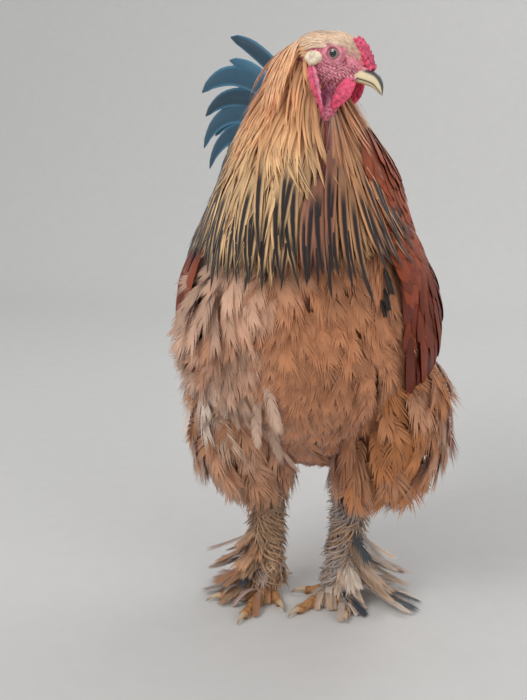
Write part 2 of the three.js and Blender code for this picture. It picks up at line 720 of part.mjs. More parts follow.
// A foot: four knuckled toes on small flat pads, with feathers along the outer and middle toes
function footSolid(leg, grow = 0) {
  const random = seededRandom(leg === "left" ? 97 : 101);
  const ankle = ANKLES[leg];
  const pieces = [ellipsoid(ankle.clone().setZ(13), [13 + grow, 13 + grow, 11 + grow], 8, 5)];
  for (const toe of TOES) {
    const heading = toeHeading(leg, toe);
    const end = toeEnd(leg, toe);
    const curve = new THREE.CatmullRomCurve3([
      ankle.clone().setZ(13),
      ankle.clone().setZ(7).addScaledVector(heading, 0.34 * toe.length),
      ankle.clone().setZ(4.6).addScaledVector(heading, 0.72 * toe.length),
      end,
    ]);
    const knuckle = (s) => 1 + 0.09 * Math.cos(2 * Math.PI * 3 * s);
    pieces.push(limb(curve, (s) => [toe.radius * mix(1.1, 0.66, s) * knuckle(s) + grow, 0.95], 6, 5));
    if (toe.name === "inner" || toe.name === "hind") continue;
    const outward = heading.clone().cross(Z).multiplyScalar(leg === "left" ? -1 : 1);
    const count = 2;
    for (let k = 0; k < count; k++) {
      const root = curve.getPoint(mix(0.22, 0.62, k / (count - 1))).add(point(0, 0, 2));
      const lean = heading.clone().multiplyScalar(0.85).addScaledVector(outward, 0.65).normalize();
      const length = mix(30, 40, random());
      const path = (s) =>
        root.clone().addScaledVector(lean, length * s)
          .add(point(0, 0, (2.4 - root.z) * s ** 1.4 + 5 * Math.sin(Math.PI * s)));
      pieces.push(legFeather(path, lean, 15, grow));
    }
  }
  return union(pieces);
}

function clawSolid(leg, toe) {
  const heading = toeHeading(leg, toe);
  const start = toeEnd(leg, toe).addScaledVector(heading, GAP + 1.2).setZ(5);
  const curve = new THREE.QuadraticBezierCurve3(
    start,
    start.clone().addScaledVector(heading, 0.6 * CLAW_LENGTH).add(point(0, 0, 3)),
    start.clone().addScaledVector(heading, CLAW_LENGTH).add(point(0, 0, -3.2)),
  );
  return limb(curve, (s) => [mix(3.4, 0.7, s ** 1.2), 1.1], 6, 3);
}

// Planes that part the whole body: a point and the direction of the side that is kept as the head or body
const along = (u) => {
  const [frontY, frontZ, backY, backZ] = rowAt(TRUNK_ROWS, u);
  const normal = point(0, backZ - frontZ, frontY - backY).normalize();
  return { normal: normal.negate(), middle: trunkBare(u, Math.PI / 2) };
};
const headCut = {
  normal: headPoint(0.65, 0, 0.76).sub(HEAD_CENTRE),
  middle: headPoint(-17, 0, -16),
};
const NECK_CUT = 4.15;
const TAIL_CUT = 11.3;

function half(solid, { normal, middle }, keepAhead) {
  const n = keepAhead ? normal : normal.clone().negate();
  return solid.trimByPlane([n.x, n.y, n.z], n.dot(middle) + GAP / 2);
}

const floor = (solid) => solid.trimByPlane([0, 0, 1], 0);

// Build in world places: flesh first, then the feathered pieces carved clear of it
const skull = (grow = 0) =>
  union([
    ...[skullSolid(grow), lidRing(1, grow), lidRing(-1, grow)].map(toWorld),
    throatSolid(grow),
  ]);
const body = union([skull(), trunkSolid()]);
const neckCut = along(NECK_CUT);
const tailCut = along(TAIL_CUT);
// The soft pieces of the head, each from its function of the growth, in the order in which they give way
const SOFT_PIECES = {
  comb: combSolid,
  earlobe_left: (grow) => earlobe(1, grow),
  earlobe_right: (grow) => earlobe(-1, grow),
  wattle_left: (grow) => wattle(1, grow),
  wattle_right: (grow) => wattle(-1, grow),
  lappet_left: (grow) => lappet(1, grow),
  lappet_right: (grow) => lappet(-1, grow),
};
const eyeRoom = toWorld(union([eyeSolid(1, GAP), eyeSolid(-1, GAP)]));
const beakRoom = toWorld(union([beakSolid(true, GAP), beakSolid(false, GAP)]));
const head = largest(half(body, headCut, true).subtract(eyeRoom).subtract(beakRoom));
const belowHead = half(body, headCut, false);

const grownHead = union([skull(GAP), half(trunkSolid(GAP), headCut, true)]);
const trunkRoom = trunkSolid(GAP);
const nodes = { head };
let taken = union([grownHead, beakRoom]);
let softRoom = union([]);
for (const [name, solid] of Object.entries(SOFT_PIECES)) {
  nodes[name] = largest(toWorld(solid()).subtract(taken));
  const room = toWorld(solid(GAP));
  taken = taken.add(room);
  softRoom = softRoom.add(room);
}
nodes.eye_left = toWorld(eyeSolid(1));
nodes.eye_right = toWorld(eyeSolid(-1));
nodes.beak_upper = toWorld(beakSolid(true).subtract(nostril(1)).subtract(nostril(-1)));
nodes.beak_lower = toWorld(beakSolid(false));

const neckClear = union([grownHead, softRoom]);
const bodyBelowNeck = half(belowHead, neckCut, false);
nodes.torso = largest(half(bodyBelowNeck, tailCut, true));

const overWing = { grow: GAP, cover: 13, margin: 0.2, reach: 1.13 };
const wingRoom = union([wingPlate(1, overWing), wingPlate(-1, overWing)]);
for (const [name, side] of [["wing_left", 1], ["wing_right", -1]])
  nodes[name] = largest(wingSolid(side).subtract(trunkRoom));
nodes.saddle = largest(saddleSolid().subtract(trunkRoom).subtract(wingRoom));

const neckCore = largest(half(belowHead, neckCut, true));
const raisedCut = {
  normal: neckCut.normal,
  middle: neckCut.middle.clone().addScaledVector(neckCut.normal, GAP),
};
const belowCut = half(trunkRoom, raisedCut, false);
const saddleRoom = saddlePlate({ grow: GAP, cover: 18, margin: 0.62 });
nodes.neck = largest(
  union([neckCore, ...hackleLocks()])
    .subtract(belowCut)
    .subtract(wingRoom)
    .subtract(saddleRoom)
    .subtract(neckClear),
);
const tailCore = half(bodyBelowNeck, tailCut, false);
nodes.tail = largest(
  union([tailCore, ...tailVanes()]).subtract(half(trunkSolid(GAP), tailCut, true)).subtract(saddleRoom),
);

const torsoRoom = union([trunkRoom, wingRoom]);
for (const leg of ["left", "right"]) {
  const thigh = thighSolid(leg).subtract(torsoRoom);
  nodes["thigh_" + leg] = largest(thigh);
}
const thighRoom = union([thighSolid("left", GAP), thighSolid("right", GAP)]);
for (const leg of ["left", "right"]) {
  nodes["shank_" + leg] = largest(floor(shankSolid(leg).subtract(thighRoom)));
  nodes["foot_" + leg] = largest(floor(footSolid(leg)).subtract(shankSolid(leg, GAP)));
  for (const toe of TOES) nodes["claw_" + leg + "_" + toe.name] = clawSolid(leg, toe);
}

// Finishes by the start of the node's name
const FINISHES = [
  ["head", 0xc8566a, 0.6], ["comb", 0xc02a45, 0.55], ["wattle", 0xd23a5a, 0.5], ["lappet", 0xc83a5c, 0.5],
  ["earlobe", 0xe8d6b8, 0.6], ["eye", 0x5a3a1c, 0.1], ["beak", 0xd9bd84, 0.4], ["claw", 0xb9a078, 0.4],
  ["neck", 0xd9973f, 0.7], ["torso", 0xc98a52, 0.85], ["wing", 0x8e3318, 0.6], ["saddle", 0xc0662a, 0.7],
  ["tail", 0x2b4652, 0.45], ["thigh", 0xc68a4e, 0.9], ["shank", 0xc79a64, 0.85], ["foot", 0xc39a5a, 0.75],
];

const bird = new THREE.Group();
bird.position.copy(STANCE_SHIFT);
for (const [name, solid] of Object.entries(nodes)) {
  const { vertProperties, triVerts } = solid.getMesh();
  const geometry = new THREE.BufferGeometry()
    .setAttribute("position", new THREE.BufferAttribute(vertProperties, 3))
    .setIndex(new THREE.BufferAttribute(triVerts, 1));
  const [, color, roughness] = FINISHES.find(([start]) => name.startsWith(start));
  const mesh = new THREE.Mesh(geometry, new THREE.MeshStandardMaterial({ color, roughness, metalness: 0 }));
  mesh.name = name;
  bird.add(mesh);
}

export default bird;
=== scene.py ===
# A life-size Brahma cock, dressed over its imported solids: one skin, horn, eyes, and every feather as mesh.
# Sizes are in millimetres in the bird's own frame (it faces -Y, its left is +X) until a mesh is written.
import json
import math

import bpy
import numpy as np
from bpy.props import FloatProperty, FloatVectorProperty, IntProperty, PointerProperty
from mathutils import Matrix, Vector
from mathutils.kdtree import KDTree

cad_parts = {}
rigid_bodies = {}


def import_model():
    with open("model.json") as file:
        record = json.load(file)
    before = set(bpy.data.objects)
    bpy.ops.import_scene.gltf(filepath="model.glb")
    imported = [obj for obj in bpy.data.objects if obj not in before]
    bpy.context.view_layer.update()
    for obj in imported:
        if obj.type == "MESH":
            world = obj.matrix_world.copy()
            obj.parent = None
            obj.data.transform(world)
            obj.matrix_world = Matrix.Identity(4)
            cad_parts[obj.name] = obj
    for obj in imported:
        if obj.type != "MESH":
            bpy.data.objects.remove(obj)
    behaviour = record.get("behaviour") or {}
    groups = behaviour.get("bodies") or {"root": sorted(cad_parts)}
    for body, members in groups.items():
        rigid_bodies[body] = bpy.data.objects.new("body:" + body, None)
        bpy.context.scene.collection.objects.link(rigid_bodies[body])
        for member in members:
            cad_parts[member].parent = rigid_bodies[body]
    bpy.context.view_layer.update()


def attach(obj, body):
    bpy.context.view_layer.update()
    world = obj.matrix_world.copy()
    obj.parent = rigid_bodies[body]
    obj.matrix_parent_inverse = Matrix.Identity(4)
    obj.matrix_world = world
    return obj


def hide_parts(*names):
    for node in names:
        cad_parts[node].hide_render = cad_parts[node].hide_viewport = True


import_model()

bl_info = {
    "name": "Brahma cock",
    "version": (1, 0, 0),
    "blender": (4, 5, 0),
    "location": "3D View > Sidebar > Brahma cock",
    "description": "Builds the skin, horn, eyes and plumage of a standing Brahma cock over its solids",
    "category": "Object",
}

MM = 0.001
STANCE = np.array([14.0, -74.0, 0.0])  # from between the ankles to the middle of the outline
BODY = "root"
PATCH = 0.003  # side of a tuft's patch on the bake map
Z = np.array([0.0, 0.0, 1.0])

# Named sizes of the bird, the same as those of its solids
HEAD_CENTRE = np.array([37.0, -77.0, 595.0])
HEAD_YAW, HEAD_PITCH = math.radians(-15), math.radians(18)
EYE_RADIUS, EYE_OFFSET = 8.0, 14.5
ANKLES = {"left": np.array([36.0, 18.0, 24.0]), "right": np.array([-45.0, 6.0, 24.0])}
HOCKS = {"left": np.array([48.0, 36.0, 152.0]), "right": np.array([-48.0, 28.0, 152.0])}
FOOT_HEADINGS = {"left": 34, "right": -13}
TAIL_ROOT = np.array([0.0, 170.0, 440.0])
CLAW_LENGTH = 14
# front y, front z, back y, back z, half width, sideways shift
TRUNK_ROWS = [
    [-82, 602, -44, 600, 19, 8], [-93, 566, -34, 566, 32, 1], [-107, 520, -14, 520, 50, -1],
    [-122, 474, 4, 478, 64, 0], [-138, 412, 26, 448, 88, 0], [-142, 340, 50, 432, 114, 0],
    [-112, 258, 72, 426, 126, 0], [-40, 192, 92, 427, 124, 0], [50, 148, 112, 433, 114, 0],
    [132, 178, 131, 443, 96, 0], [184, 262, 147, 456, 72, 0], [194, 344, 159, 468, 48, 0],
    [188, 392, 168, 478, 28, 0],
]
CAPE_LIFTS = [[3], [13], [19], [20], [15], [11], [9]]  # outer hackle over the trunk, by ring
WING_START, WING_END = 4.35, 8.9
# x, y, z, half width, half depth
THIGH_ROWS = {
    "left": [[66, 6, 312, 50, 62], [84, 4, 268, 63, 76], [91, 6, 226, 61, 78], [88, 12, 186, 60, 72],
             [80, 18, 152, 54, 60], [68, 24, 130, 38, 42], [58, 28, 120, 20, 22]],
    "right": [[-66, 6, 312, 48, 62], [-76, 4, 268, 56, 76], [-78, 6, 226, 54, 78], [-76, 12, 186, 53, 70],
              [-70, 18, 152, 48, 56], [-60, 22, 130, 34, 38], [-53, 24, 121, 18, 20]],
}
# forward, centre height, half width, up, down, in the head's frame
SKULL_ROWS = [
    [-40, -8, 11, 12, 13], [-29, -5, 18, 16.5, 22], [-17, -3, 22, 18.5, 30], [-4, -2, 21.5, 20.5, 32],
    [8, -3, 18.5, 20.5, 27], [18, -5, 14.5, 15.5, 19], [26, -7, 11.5, 12, 12], [32, -9, 8.5, 8, 8],
]
MOUTH = [[21, 0, -15.3], [30, 0, -14.6], [40, 0, -15], [47, 0, -19], [50.5, 0, -23]]
UPPER_BEAK = [[0, 11, 9.5], [0.3, 10.8, 8.6], [0.55, 9.4, 7], [0.78, 7, 4.8], [0.92, 4, 2.6], [1, 1.6, 0.8]]
LOWER_BEAK = [[0, 7.5, 9], [0.35, 7.6, 7.8], [0.62, 6.6, 5.6], [0.8, 4, 3.6], [0.88, 1.6, 1.8]]
COMB_LINE = [[10, 0, 15.5], [18, 0, 10.5], [26, 0, 4], [33, 0, -4]]
# name: turn in from the middle toe, length, radius
TOES = {"inner": (41, 32, 7), "middle": (0, 64, 8), "outer": (-46, 52, 7), "hind": (168, 26, 6)}
# start and end angle from the ridge, length, width
SICKLES = {
    "left": [[-6, 72, 150, 24], [8, 100, 140, 24], [34, 120, 145, 24], [58, 140, 140, 24]],
    "right": [[-16, 46, 232, 26], [-8, 104, 268, 28], [6, 132, 256, 26], [26, 146, 218, 24]],
}


def unit(v):
    return v / np.maximum(np.linalg.norm(v, axis=-1, keepdims=True), 1e-9)


def mix(a, b, t):
    return a + (b - a) * t


def smooth(t, low=0.0, high=1.0):
    t = np.clip((np.asarray(t, float) - low) / (high - low), 0, 1)
    return t * t * (3 - 2 * t)


def bump(t, middle, reach):
    return np.exp(-(((np.asarray(t, float) - middle) / reach) ** 2))


def row_at(rows, at):
    """A smooth row of values between the rows of a table, at fractional row numbers."""
    rows = np.asarray(rows, float)
    t = np.clip(np.asarray(at, float), 0, len(rows) - 1)
    i = np.minimum(t.astype(int), len(rows) - 2)
    f = (t - i)[..., None]
    padded = np.vstack([2 * rows[:1] - rows[1:2], rows, 2 * rows[-1:] - rows[-2:-1]])
    a, b, c, d = (padded[i + k] for k in range(4))
    return b + 0.5 * f * (c - a + f * (2 * a - 5 * b + 4 * c - d + f * (3 * (b - c) + d - a)))


def ripple(points, wavelength, seed, octaves=3):
    """A soft wandering value between about -1 and 1 over space."""
    rng = np.random.default_rng(seed)
    total = np.zeros(points.shape[:-1])
    for octave in range(octaves):
        for _ in range(4):
            way = unit(rng.normal(size=3)) * 2 * math.pi / wavelength * 1.7 ** octave
            total += np.sin(points @ way + rng.uniform(0, 7)) * 0.6 ** octave / 2.6
    return total


def turned(vectors, axis, angle):
    """Vectors turned about axes by angles."""
    c, s = np.cos(angle)[..., None], np.sin(angle)[..., None]
    dot = (vectors * axis).sum(-1, keepdims=True)
    return vectors * c + np.cross(axis, vectors) * s + axis * dot * (1 - c)


# Surfaces that feathers grow on: each maps two shares or angles to a place
class Surface:
    def __init__(self, place, flip=1.0):
        self.place = place
        self.flip = flip

    def frame(self, u, v):
        """Place, outward normal, and the length of a step of 1 in u and in v."""
        step = 0.02
        along = (self.place(u + step, v) - self.place(u - step, v)) / (2 * step)
        round_ = (self.place(u, v + step) - self.place(u, v - step)) / (2 * step)
        normal = unit(np.cross(along, round_)) * self.flip
        return self.place(u, v), normal, np.linalg.norm(along, axis=-1), np.linalg.norm(round_, axis=-1)

    def lay(self, u, v, length, slant, lift, stations=6, curl=0.0, pull=0.0):
        """Middle lines of feathers from (u, v), which follow the surface for a length and lean by a slant.

        A pull draws their tips together, as far as it says in v."""
        _, _, along, round_ = self.frame(u, v)
        s = np.linspace(0, 1, stations)[None, :]
        reach = length[:, None] * s
        sway = slant[:, None] + curl * (s - 0.3)
        uu = u[:, None] + reach * np.cos(sway) / np.maximum(along, 8)[:, None]
        vv = v[:, None] + reach * np.sin(sway) / np.maximum(round_, 8)[:, None]
        vv = vv + np.broadcast_to(pull, v.shape)[:, None] * s ** 1.5
        place, normal, _, _ = self.frame(uu, vv)
        return place + normal * lift(s, uu, vv)[..., None], normal

    def scatter(self, count, u_range, v_range, seed, keep=None, apart=False):
        """An even scatter over the surface's area; where it is apart, each place is far from all the others."""
        rng = np.random.default_rng(seed)
        k = np.arange(count * 14) + 0.5
        u = mix(*u_range, (k * 0.7548776662466927) % 1)
        v = mix(*v_range, (k * 0.5698402909980532) % 1)
        _, _, along, round_ = self.frame(u, v)
        area = along * round_
        chance = area / np.percentile(area, 98)
        if keep is not None:
            chance = chance * keep(u, v)
        chosen = np.flatnonzero(rng.random(len(u)) < chance)
        if apart and len(chosen) > count:
            at = self.place(u[chosen], v[chosen])
            far = np.full(len(chosen), np.inf)
            picked = [0]
            while len(picked) < count:
                far = np.minimum(far, np.linalg.norm(at - at[picked[-1]], axis=1))
                picked.append(int(np.argmax(far)))
            return u[chosen[picked]], v[chosen[picked]]
        step = max(1.0, len(chosen) / count)
        chosen = chosen[(np.arange(min(count, len(chosen))) * step).astype(int)]
        return u[chosen], v[chosen]


def trunk_place(u, angle):
    front_y, front_z, back_y, back_z, half, shift = np.moveaxis(row_at(TRUNK_ROWS, u), -1, 0)
    lean = (1 + np.cos(angle)) / 2
    x = shift + half * np.sin(angle)
    return np.stack([x, mix(back_y, front_y, lean), mix(back_z, front_z, lean)], -1)


def thigh_place(leg):
    rows = THIGH_ROWS[leg]

    def place(s, angle):
        x, y, z, half, depth = np.moveaxis(row_at(rows, s * (len(rows) - 1)), -1, 0)
        return np.stack([
            x + half * np.sin(angle), y - depth * np.cos(angle), z + 0.06 * depth * np.cos(angle),
        ], -1)
    return place


def shank_place(leg):
    hock, ankle = HOCKS[leg], ANKLES[leg]

    def place(s, angle):
        radius = mix(12.5, 9.5, smooth(s, 0, 0.5)) + 2.5 * smooth(s, 0.75, 1)
        middle = mix(hock, ankle, np.asarray(s, float)[..., None])
        return middle + radius[..., None] * np.stack([np.sin(angle), -np.cos(angle), 0 * angle], -1)
    return place


def head_turn():
    cz, sz, cy, sy = math.cos(HEAD_YAW), math.sin(HEAD_YAW), math.cos(HEAD_PITCH), math.sin(HEAD_PITCH)
    return np.array([[cz, -sz, 0], [sz, cz, 0], [0, 0, 1]]) @ np.array([[cy, 0, sy], [0, 1, 0], [-sy, 0, cy]])


HEAD_TURN = head_turn()


def from_head(points):
    return np.asarray(points, float) @ HEAD_TURN.T + HEAD_CENTRE


def to_head(points):
    return (points - HEAD_CENTRE) @ HEAD_TURN


def skull_place(row, angle):
    f, height, half, up, down = np.moveaxis(row_at(SKULL_ROWS, row), -1, 0)
    rise = np.sin(angle)
    return from_head(np.stack([f, half * np.cos(angle), height + rise * np.where(rise > 0, up, down)], -1))


TRUNK = Surface(trunk_place)
SKULL = Surface(skull_place, -1.0)
THIGHS = {leg: Surface(thigh_place(leg), 1.0) for leg in ANKLES}
SHANKS = {leg: Surface(shank_place(leg), 1.0) for leg in ANKLES}


# Meshes
def new_object(name, points, starts, corners, smooth_faces=True):
    """An object from points in millimetres and faces given by their corners, one after another."""
    mesh = bpy.data.meshes.new(name)
    points = np.asarray(points, float).reshape(-1, 3)
    mesh.vertices.add(len(points))
    mesh.vertices.foreach_set("co", ((points + STANCE) * MM).astype(np.float32).ravel())
    mesh.loops.add(len(corners))
    mesh.loops.foreach_set("vertex_index", np.asarray(corners, np.int32))
    mesh.polygons.add(len(starts))
    mesh.polygons.foreach_set("loop_start", np.asarray(starts, np.int32))
    mesh.update(calc_edges=True)
    mesh.validate()
    mesh.shade_smooth() if smooth_faces else mesh.shade_flat()
    piece = bpy.data.objects.new(name, mesh)
    bpy.context.scene.collection.objects.link(piece)
    return piece


def from_faces(name, points, faces):
    sizes = np.array([len(f) for f in faces])
    return new_object(name, points, np.concatenate([[0], np.cumsum(sizes)[:-1]]), np.concatenate(faces))


def loft(rings):
    """Closed surface over rings (steps, around, 3), with a fan at both ends."""
    rings = np.asarray(rings, float)
    steps, around = rings.shape[:2]
    points = np.concatenate([rings.reshape(-1, 3), rings[0].mean(0)[None], rings[-1].mean(0)[None]])
    faces = []
    for i in range(steps - 1):
        for j in range(around):
            k = (j + 1) % around
            faces.append([i * around + j, i * around + k, (i + 1) * around + k, (i + 1) * around + j])
    first, last = steps * around, steps * around + 1
    for j in range(around):
        k = (j + 1) % around
        faces.append([first, k, j])
        faces.append([last, (steps - 1) * around + j, (steps - 1) * around + k])
    return points, faces


def joined(parts):
    """Several lofts as one list of points and faces, each turned to face out."""
    points, faces, start = [], [], 0
    for some, its_faces in parts:
        volume = 0.0
        for f in its_faces:
            for k in range(1, len(f) - 1):
                volume += some[f[0]] @ np.cross(some[f[k]], some[f[k + 1]])
        order = 1 if volume > 0 else -1
        points.append(some)
        faces.extend([np.array(f[::order]) + start for f in its_faces])
        start += len(some)
    return np.concatenate(points), faces


def limb(points, radii, around=24, steps=40):
    """A round limb along a smooth line through points, radii by share of the line."""
    s = np.linspace(0, 1, steps)
    line = row_at(points, s * (len(points) - 1))
    tangent = unit(np.gradient(line, axis=0))
    side = unit(np.cross(tangent, np.where(np.abs(tangent[:, 2:3]) > 0.9, [[0.0, 1, 0]], [[0.0, 0, 1]])))
    for i in range(1, steps):
        side[i] = unit(side[i - 1] - tangent[i] * (side[i - 1] @ tangent[i]))
    other = np.cross(tangent, side)
    angle = np.linspace(0, 2 * math.pi, around, endpoint=False)
    radius = np.array([radii(x) for x in s])
    rings = line[:, None] + radius[:, None, None] * (
        side[:, None] * np.cos(angle)[None, :, None] + other[:, None] * np.sin(angle)[None, :, None])
    return loft(rings)


def ball(centre, radii, around=24, steps=16):
    polar = np.linspace(0.06, math.pi - 0.06, steps)[:, None]
    angle = np.linspace(0, 2 * math.pi, around, endpoint=False)[None, :]
    rings = np.stack([np.cos(polar) + 0 * angle, np.sin(polar) * np.cos(angle), np.sin(polar) * np.sin(angle)], -1)
    return loft(rings * np.asarray(radii, float) + np.asarray(centre, float))


def remeshed(name, parts, voxel, smoothing=3):
    """Lofts fused into one closed surface of even small faces; its points come back in millimetres."""
    source = from_faces(name, *joined(parts))
    fuse = source.modifiers.new("fuse", "REMESH")
    fuse.mode = "VOXEL"
    fuse.voxel_size = voxel * MM
    if smoothing:
        soften = source.modifiers.new("soften", "SMOOTH")
        soften.factor, soften.iterations = 0.5, smoothing
    mesh = bpy.data.meshes.new_from_object(source.evaluated_get(bpy.context.evaluated_depsgraph_get()))
    bpy.data.objects.remove(source)
    return mesh


def mesh_points(mesh):
    points = np.empty(len(mesh.vertices) * 3, np.float32)
    mesh.vertices.foreach_get("co", points)
    return points.reshape(-1, 3).astype(float) / MM - STANCE


def mesh_normals(mesh):
    normals = np.empty(len(mesh.vertices) * 3, np.float32)
    mesh.vertex_normals.foreach_get("vector", normals)
    return normals.reshape(-1, 3).astype(float)


def set_points(mesh, points):
    mesh.vertices.foreach_set("co", ((points + STANCE) * MM).astype(np.float32).ravel())
    mesh.update()


def object_of(name, mesh):
    mesh.name = name
    mesh.shade_smooth()
    piece = bpy.data.objects.new(name, mesh)
    bpy.context.scene.collection.objects.link(piece)
    return piece


def paint(mesh, name, colours):
    """A colour for each point, as an attribute that the finishes read."""
    values = np.ones((len(mesh.vertices), 4), np.float32)
    values[:, :3] = np.asarray(colours, float).reshape(-1, 3)
    attribute = mesh.attributes.new(name, "FLOAT_COLOR", "POINT")
    attribute.data.foreach_set("color", values.ravel())


def lay_map(mesh, name, places):
    """A UV map from a place for each point."""
    corners = np.empty(len(mesh.loops), np.int32)
    mesh.loops.foreach_get("vertex_index", corners)
    layer = mesh.uv_layers.new(name=name)
    layer.uv.foreach_set("vector", np.asarray(places, np.float32)[corners].ravel())


def finish_piece(piece, material, slot, *nodes):
    piece.data.materials.clear()
    piece.data.materials.append(material)
    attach(piece, BODY)
    if nodes:
        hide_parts(*nodes)
    return piece


# Feathers: each is a thin closed blade with a raised shaft
LANCE = [[0, 0.5], [0.15, 0.85], [0.45, 1], [0.7, 0.84], [0.88, 0.5], [1, 0.03]]
ROUND = [[0, 0.4], [0.18, 0.8], [0.45, 1], [0.78, 1], [0.9, 0.82], [0.97, 0.5], [1, 0.1]]
WISP = [[0, 0.9], [0.3, 1], [0.6, 0.75], [0.85, 0.4], [1, 0.05]]
VANE = [[0, 0.12], [0.06, 0.5], [0.2, 0.85], [0.5, 1], [0.8, 0.9], [0.93, 0.62], [1, 0.12]]


def form_at(form, s):
    form = np.asarray(form, float)
    return np.interp(s, form[:, 0], form[:, 1])


def feathers(name, path, normal, width, form, colour, marks, root_map, thick=0.12, camber=0.12, columns=3):
    """One object of many feathers from their middle lines (count, stations, 3).

    The upper side is an arch of some columns, and a flat lower side closes it."""
    count, stations = path.shape[:2]
    s = np.linspace(0, 1, stations)
    c = np.linspace(-1, 1, columns)
    tangent = unit(np.gradient(path, axis=1))
    side = unit(np.cross(tangent, normal))
    up = np.cross(side, tangent)
    half = (width[:, None] * form_at(form, s)[None, :] / 2)[..., None, None]
    arch = (thick + camber) * (1 - c ** 2) - camber
    rows = path[:, :, None] + half * (side[:, :, None] * c[:, None] + up[:, :, None] * arch[:, None])
    faces = []
    for i in range(stations - 1):
        a = columns * i
        b = a + columns
        faces += [[a + k, a + k + 1, b + k + 1, b + k] for k in range(columns - 1)]
        faces.append([a + columns - 1, a, b, b + columns - 1])
    last = columns * (stations - 1)
    faces += [[k for k in reversed(range(columns))], [last + k for k in range(columns)]]
    sizes = np.array([len(f) for f in faces])
    template = np.concatenate(faces)
    starts = np.concatenate([[0], np.cumsum(sizes)[:-1]])
    shift = np.arange(count)[:, None]
    corners = (template[None, :] + shift * columns * stations).ravel()
    loop_starts = (starts[None, :] + shift * len(template)).ravel()
    piece = new_object(name, rows, loop_starts, corners)
    mesh = piece.data
    across = np.broadcast_to((c * 0.5 + 0.5)[None, None, :], (count, stations, columns))
    along = np.broadcast_to(s[None, :, None], (count, stations, columns))
    own = np.stack([across, along], -1).reshape(-1, 2)
    lay_map(mesh, "feather", own)
    root = np.repeat(np.asarray(root_map, float), stations * columns, axis=0)
    lay_map(mesh, "OFBake", np.clip(root, 0.004, 0.996) + (own - 0.5) * PATCH)
    colour = np.asarray(colour, float)
    if colour.ndim == 2:
        colour = np.repeat(colour[:, None], stations, axis=1)
    paint(mesh, "plumage", np.repeat(colour.reshape(count * stations, 3), columns, axis=0))
    paint(mesh, "marks", np.repeat(marks, stations * columns, axis=0))
    ends = np.empty(len(mesh.edges) * 2, np.int32)
    mesh.edges.foreach_get("vertices", ends)
    ends = ends.reshape(-1, 2) % columns
    edge = (ends == 0) | (ends == columns - 1)
    crease = mesh.attributes.get("sharp_edge") or mesh.attributes.new("sharp_edge", "BOOLEAN", "EDGE")
    crease.data.foreach_set("value", edge.all(axis=1))
    return piece


def along_path(values, share):
    """Values of each path's stations at shares of the way along it."""
    at = np.clip(share, 0, 1) * (values.shape[1] - 1)
    i = np.minimum(at.astype(int), values.shape[1] - 2)
    f = (at - i)[None, :, None]
    return values[:, i] * (1 - f) + values[:, i + 1] * f


OUTLINE = [[0, 0.45], [0.15, 0.75], [0.45, 1], [0.75, 0.9], [1, 0.4]]


BARB_STATIONS = 3


def plumes(name, shafts, normals, width, colour, marks, root_map, rng, barbs=26, barb_width=1.5,
           open_angle=62, loose=0.1, camber=0.14):
    """One object of barbed feathers: barbs leave both sides of each shaft and bend towards its tip."""
    count = len(shafts)
    share = np.tile(np.linspace(0.05, 1, barbs), 2)
    sign = np.repeat([-1.0, 1.0], barbs)
    tangent = unit(np.gradient(shafts, axis=1))
    start = along_path(shafts, share)
    ahead = unit(along_path(tangent, share))
    up = unit(along_path(np.broadcast_to(normals, shafts.shape), share))
    side = unit(np.cross(ahead, up))
    angle = np.radians(mix(open_angle, 16, share ** 1.6)) * (1 + rng.normal(0, loose, (count, 2 * barbs)))
    half = width[:, None] / 2 * form_at(OUTLINE, share)[None, :] * rng.uniform(0.88, 1.06, (count, 2 * barbs))
    reach = half / np.maximum(np.sin(angle), 0.42)
    q = np.linspace(0, 1, BARB_STATIONS)
    forward = reach[..., None] * (np.cos(angle)[..., None] * q + 0.25 * q ** 2)
    out = reach[..., None] * np.sin(angle)[..., None] * (q - 0.22 * q ** 2)
    sink = camber * out ** 2 / width[:, None, None] + rng.normal(0, 0.25, (count, 2 * barbs, 1)) * q
    path = start[:, :, None] + ahead[:, :, None] * forward[..., None]
    path = path + side[:, :, None] * (sign[None, :, None] * out)[..., None] - up[:, :, None] * sink[..., None]
    each = 2 * barbs
    normal = np.broadcast_to(up[:, :, None], path.shape).reshape(count * each, BARB_STATIONS, 3)
    picked = np.linspace(0, shafts.shape[1] - 1, BARB_STATIONS).round().astype(int)
    path = np.concatenate([path.reshape(count * each, BARB_STATIONS, 3), shafts[:, picked] + 0.25 * up[:, :1]])
    path[..., 2] = np.maximum(path[..., 2], 2.4)
    normal = np.concatenate([normal, np.broadcast_to(up[:, :1], (count, BARB_STATIONS, 3))])
    # Painted shade: barbs darken towards the feather's root, where the feathers overlap one another.
    shade = (0.92 + 0.12 * share[None, :]) * rng.uniform(0.96, 1.04, (count, each))
    colours = (colour[:, None] * shade[..., None]).reshape(-1, 3)
    wide = np.concatenate([barb_width * rng.uniform(0.8, 1.25, count * each), np.full(count, 0.9)])
    return feathers(
        name, path, normal, wide, WISP, np.concatenate([colours, colour * 1.1]),
        np.concatenate([np.repeat(marks, each, axis=0), marks]),
        np.concatenate([np.repeat(root_map, each, axis=0), root_map]), 0.22, 0.05)


def body_map(u, angle):
    return np.stack([(angle / (2 * math.pi)) % 1, np.clip(u / 12.5 + 0.02, 0, 1)], -1)


def shares(low, high, rng, count):
    return rng.uniform(low, high, count)


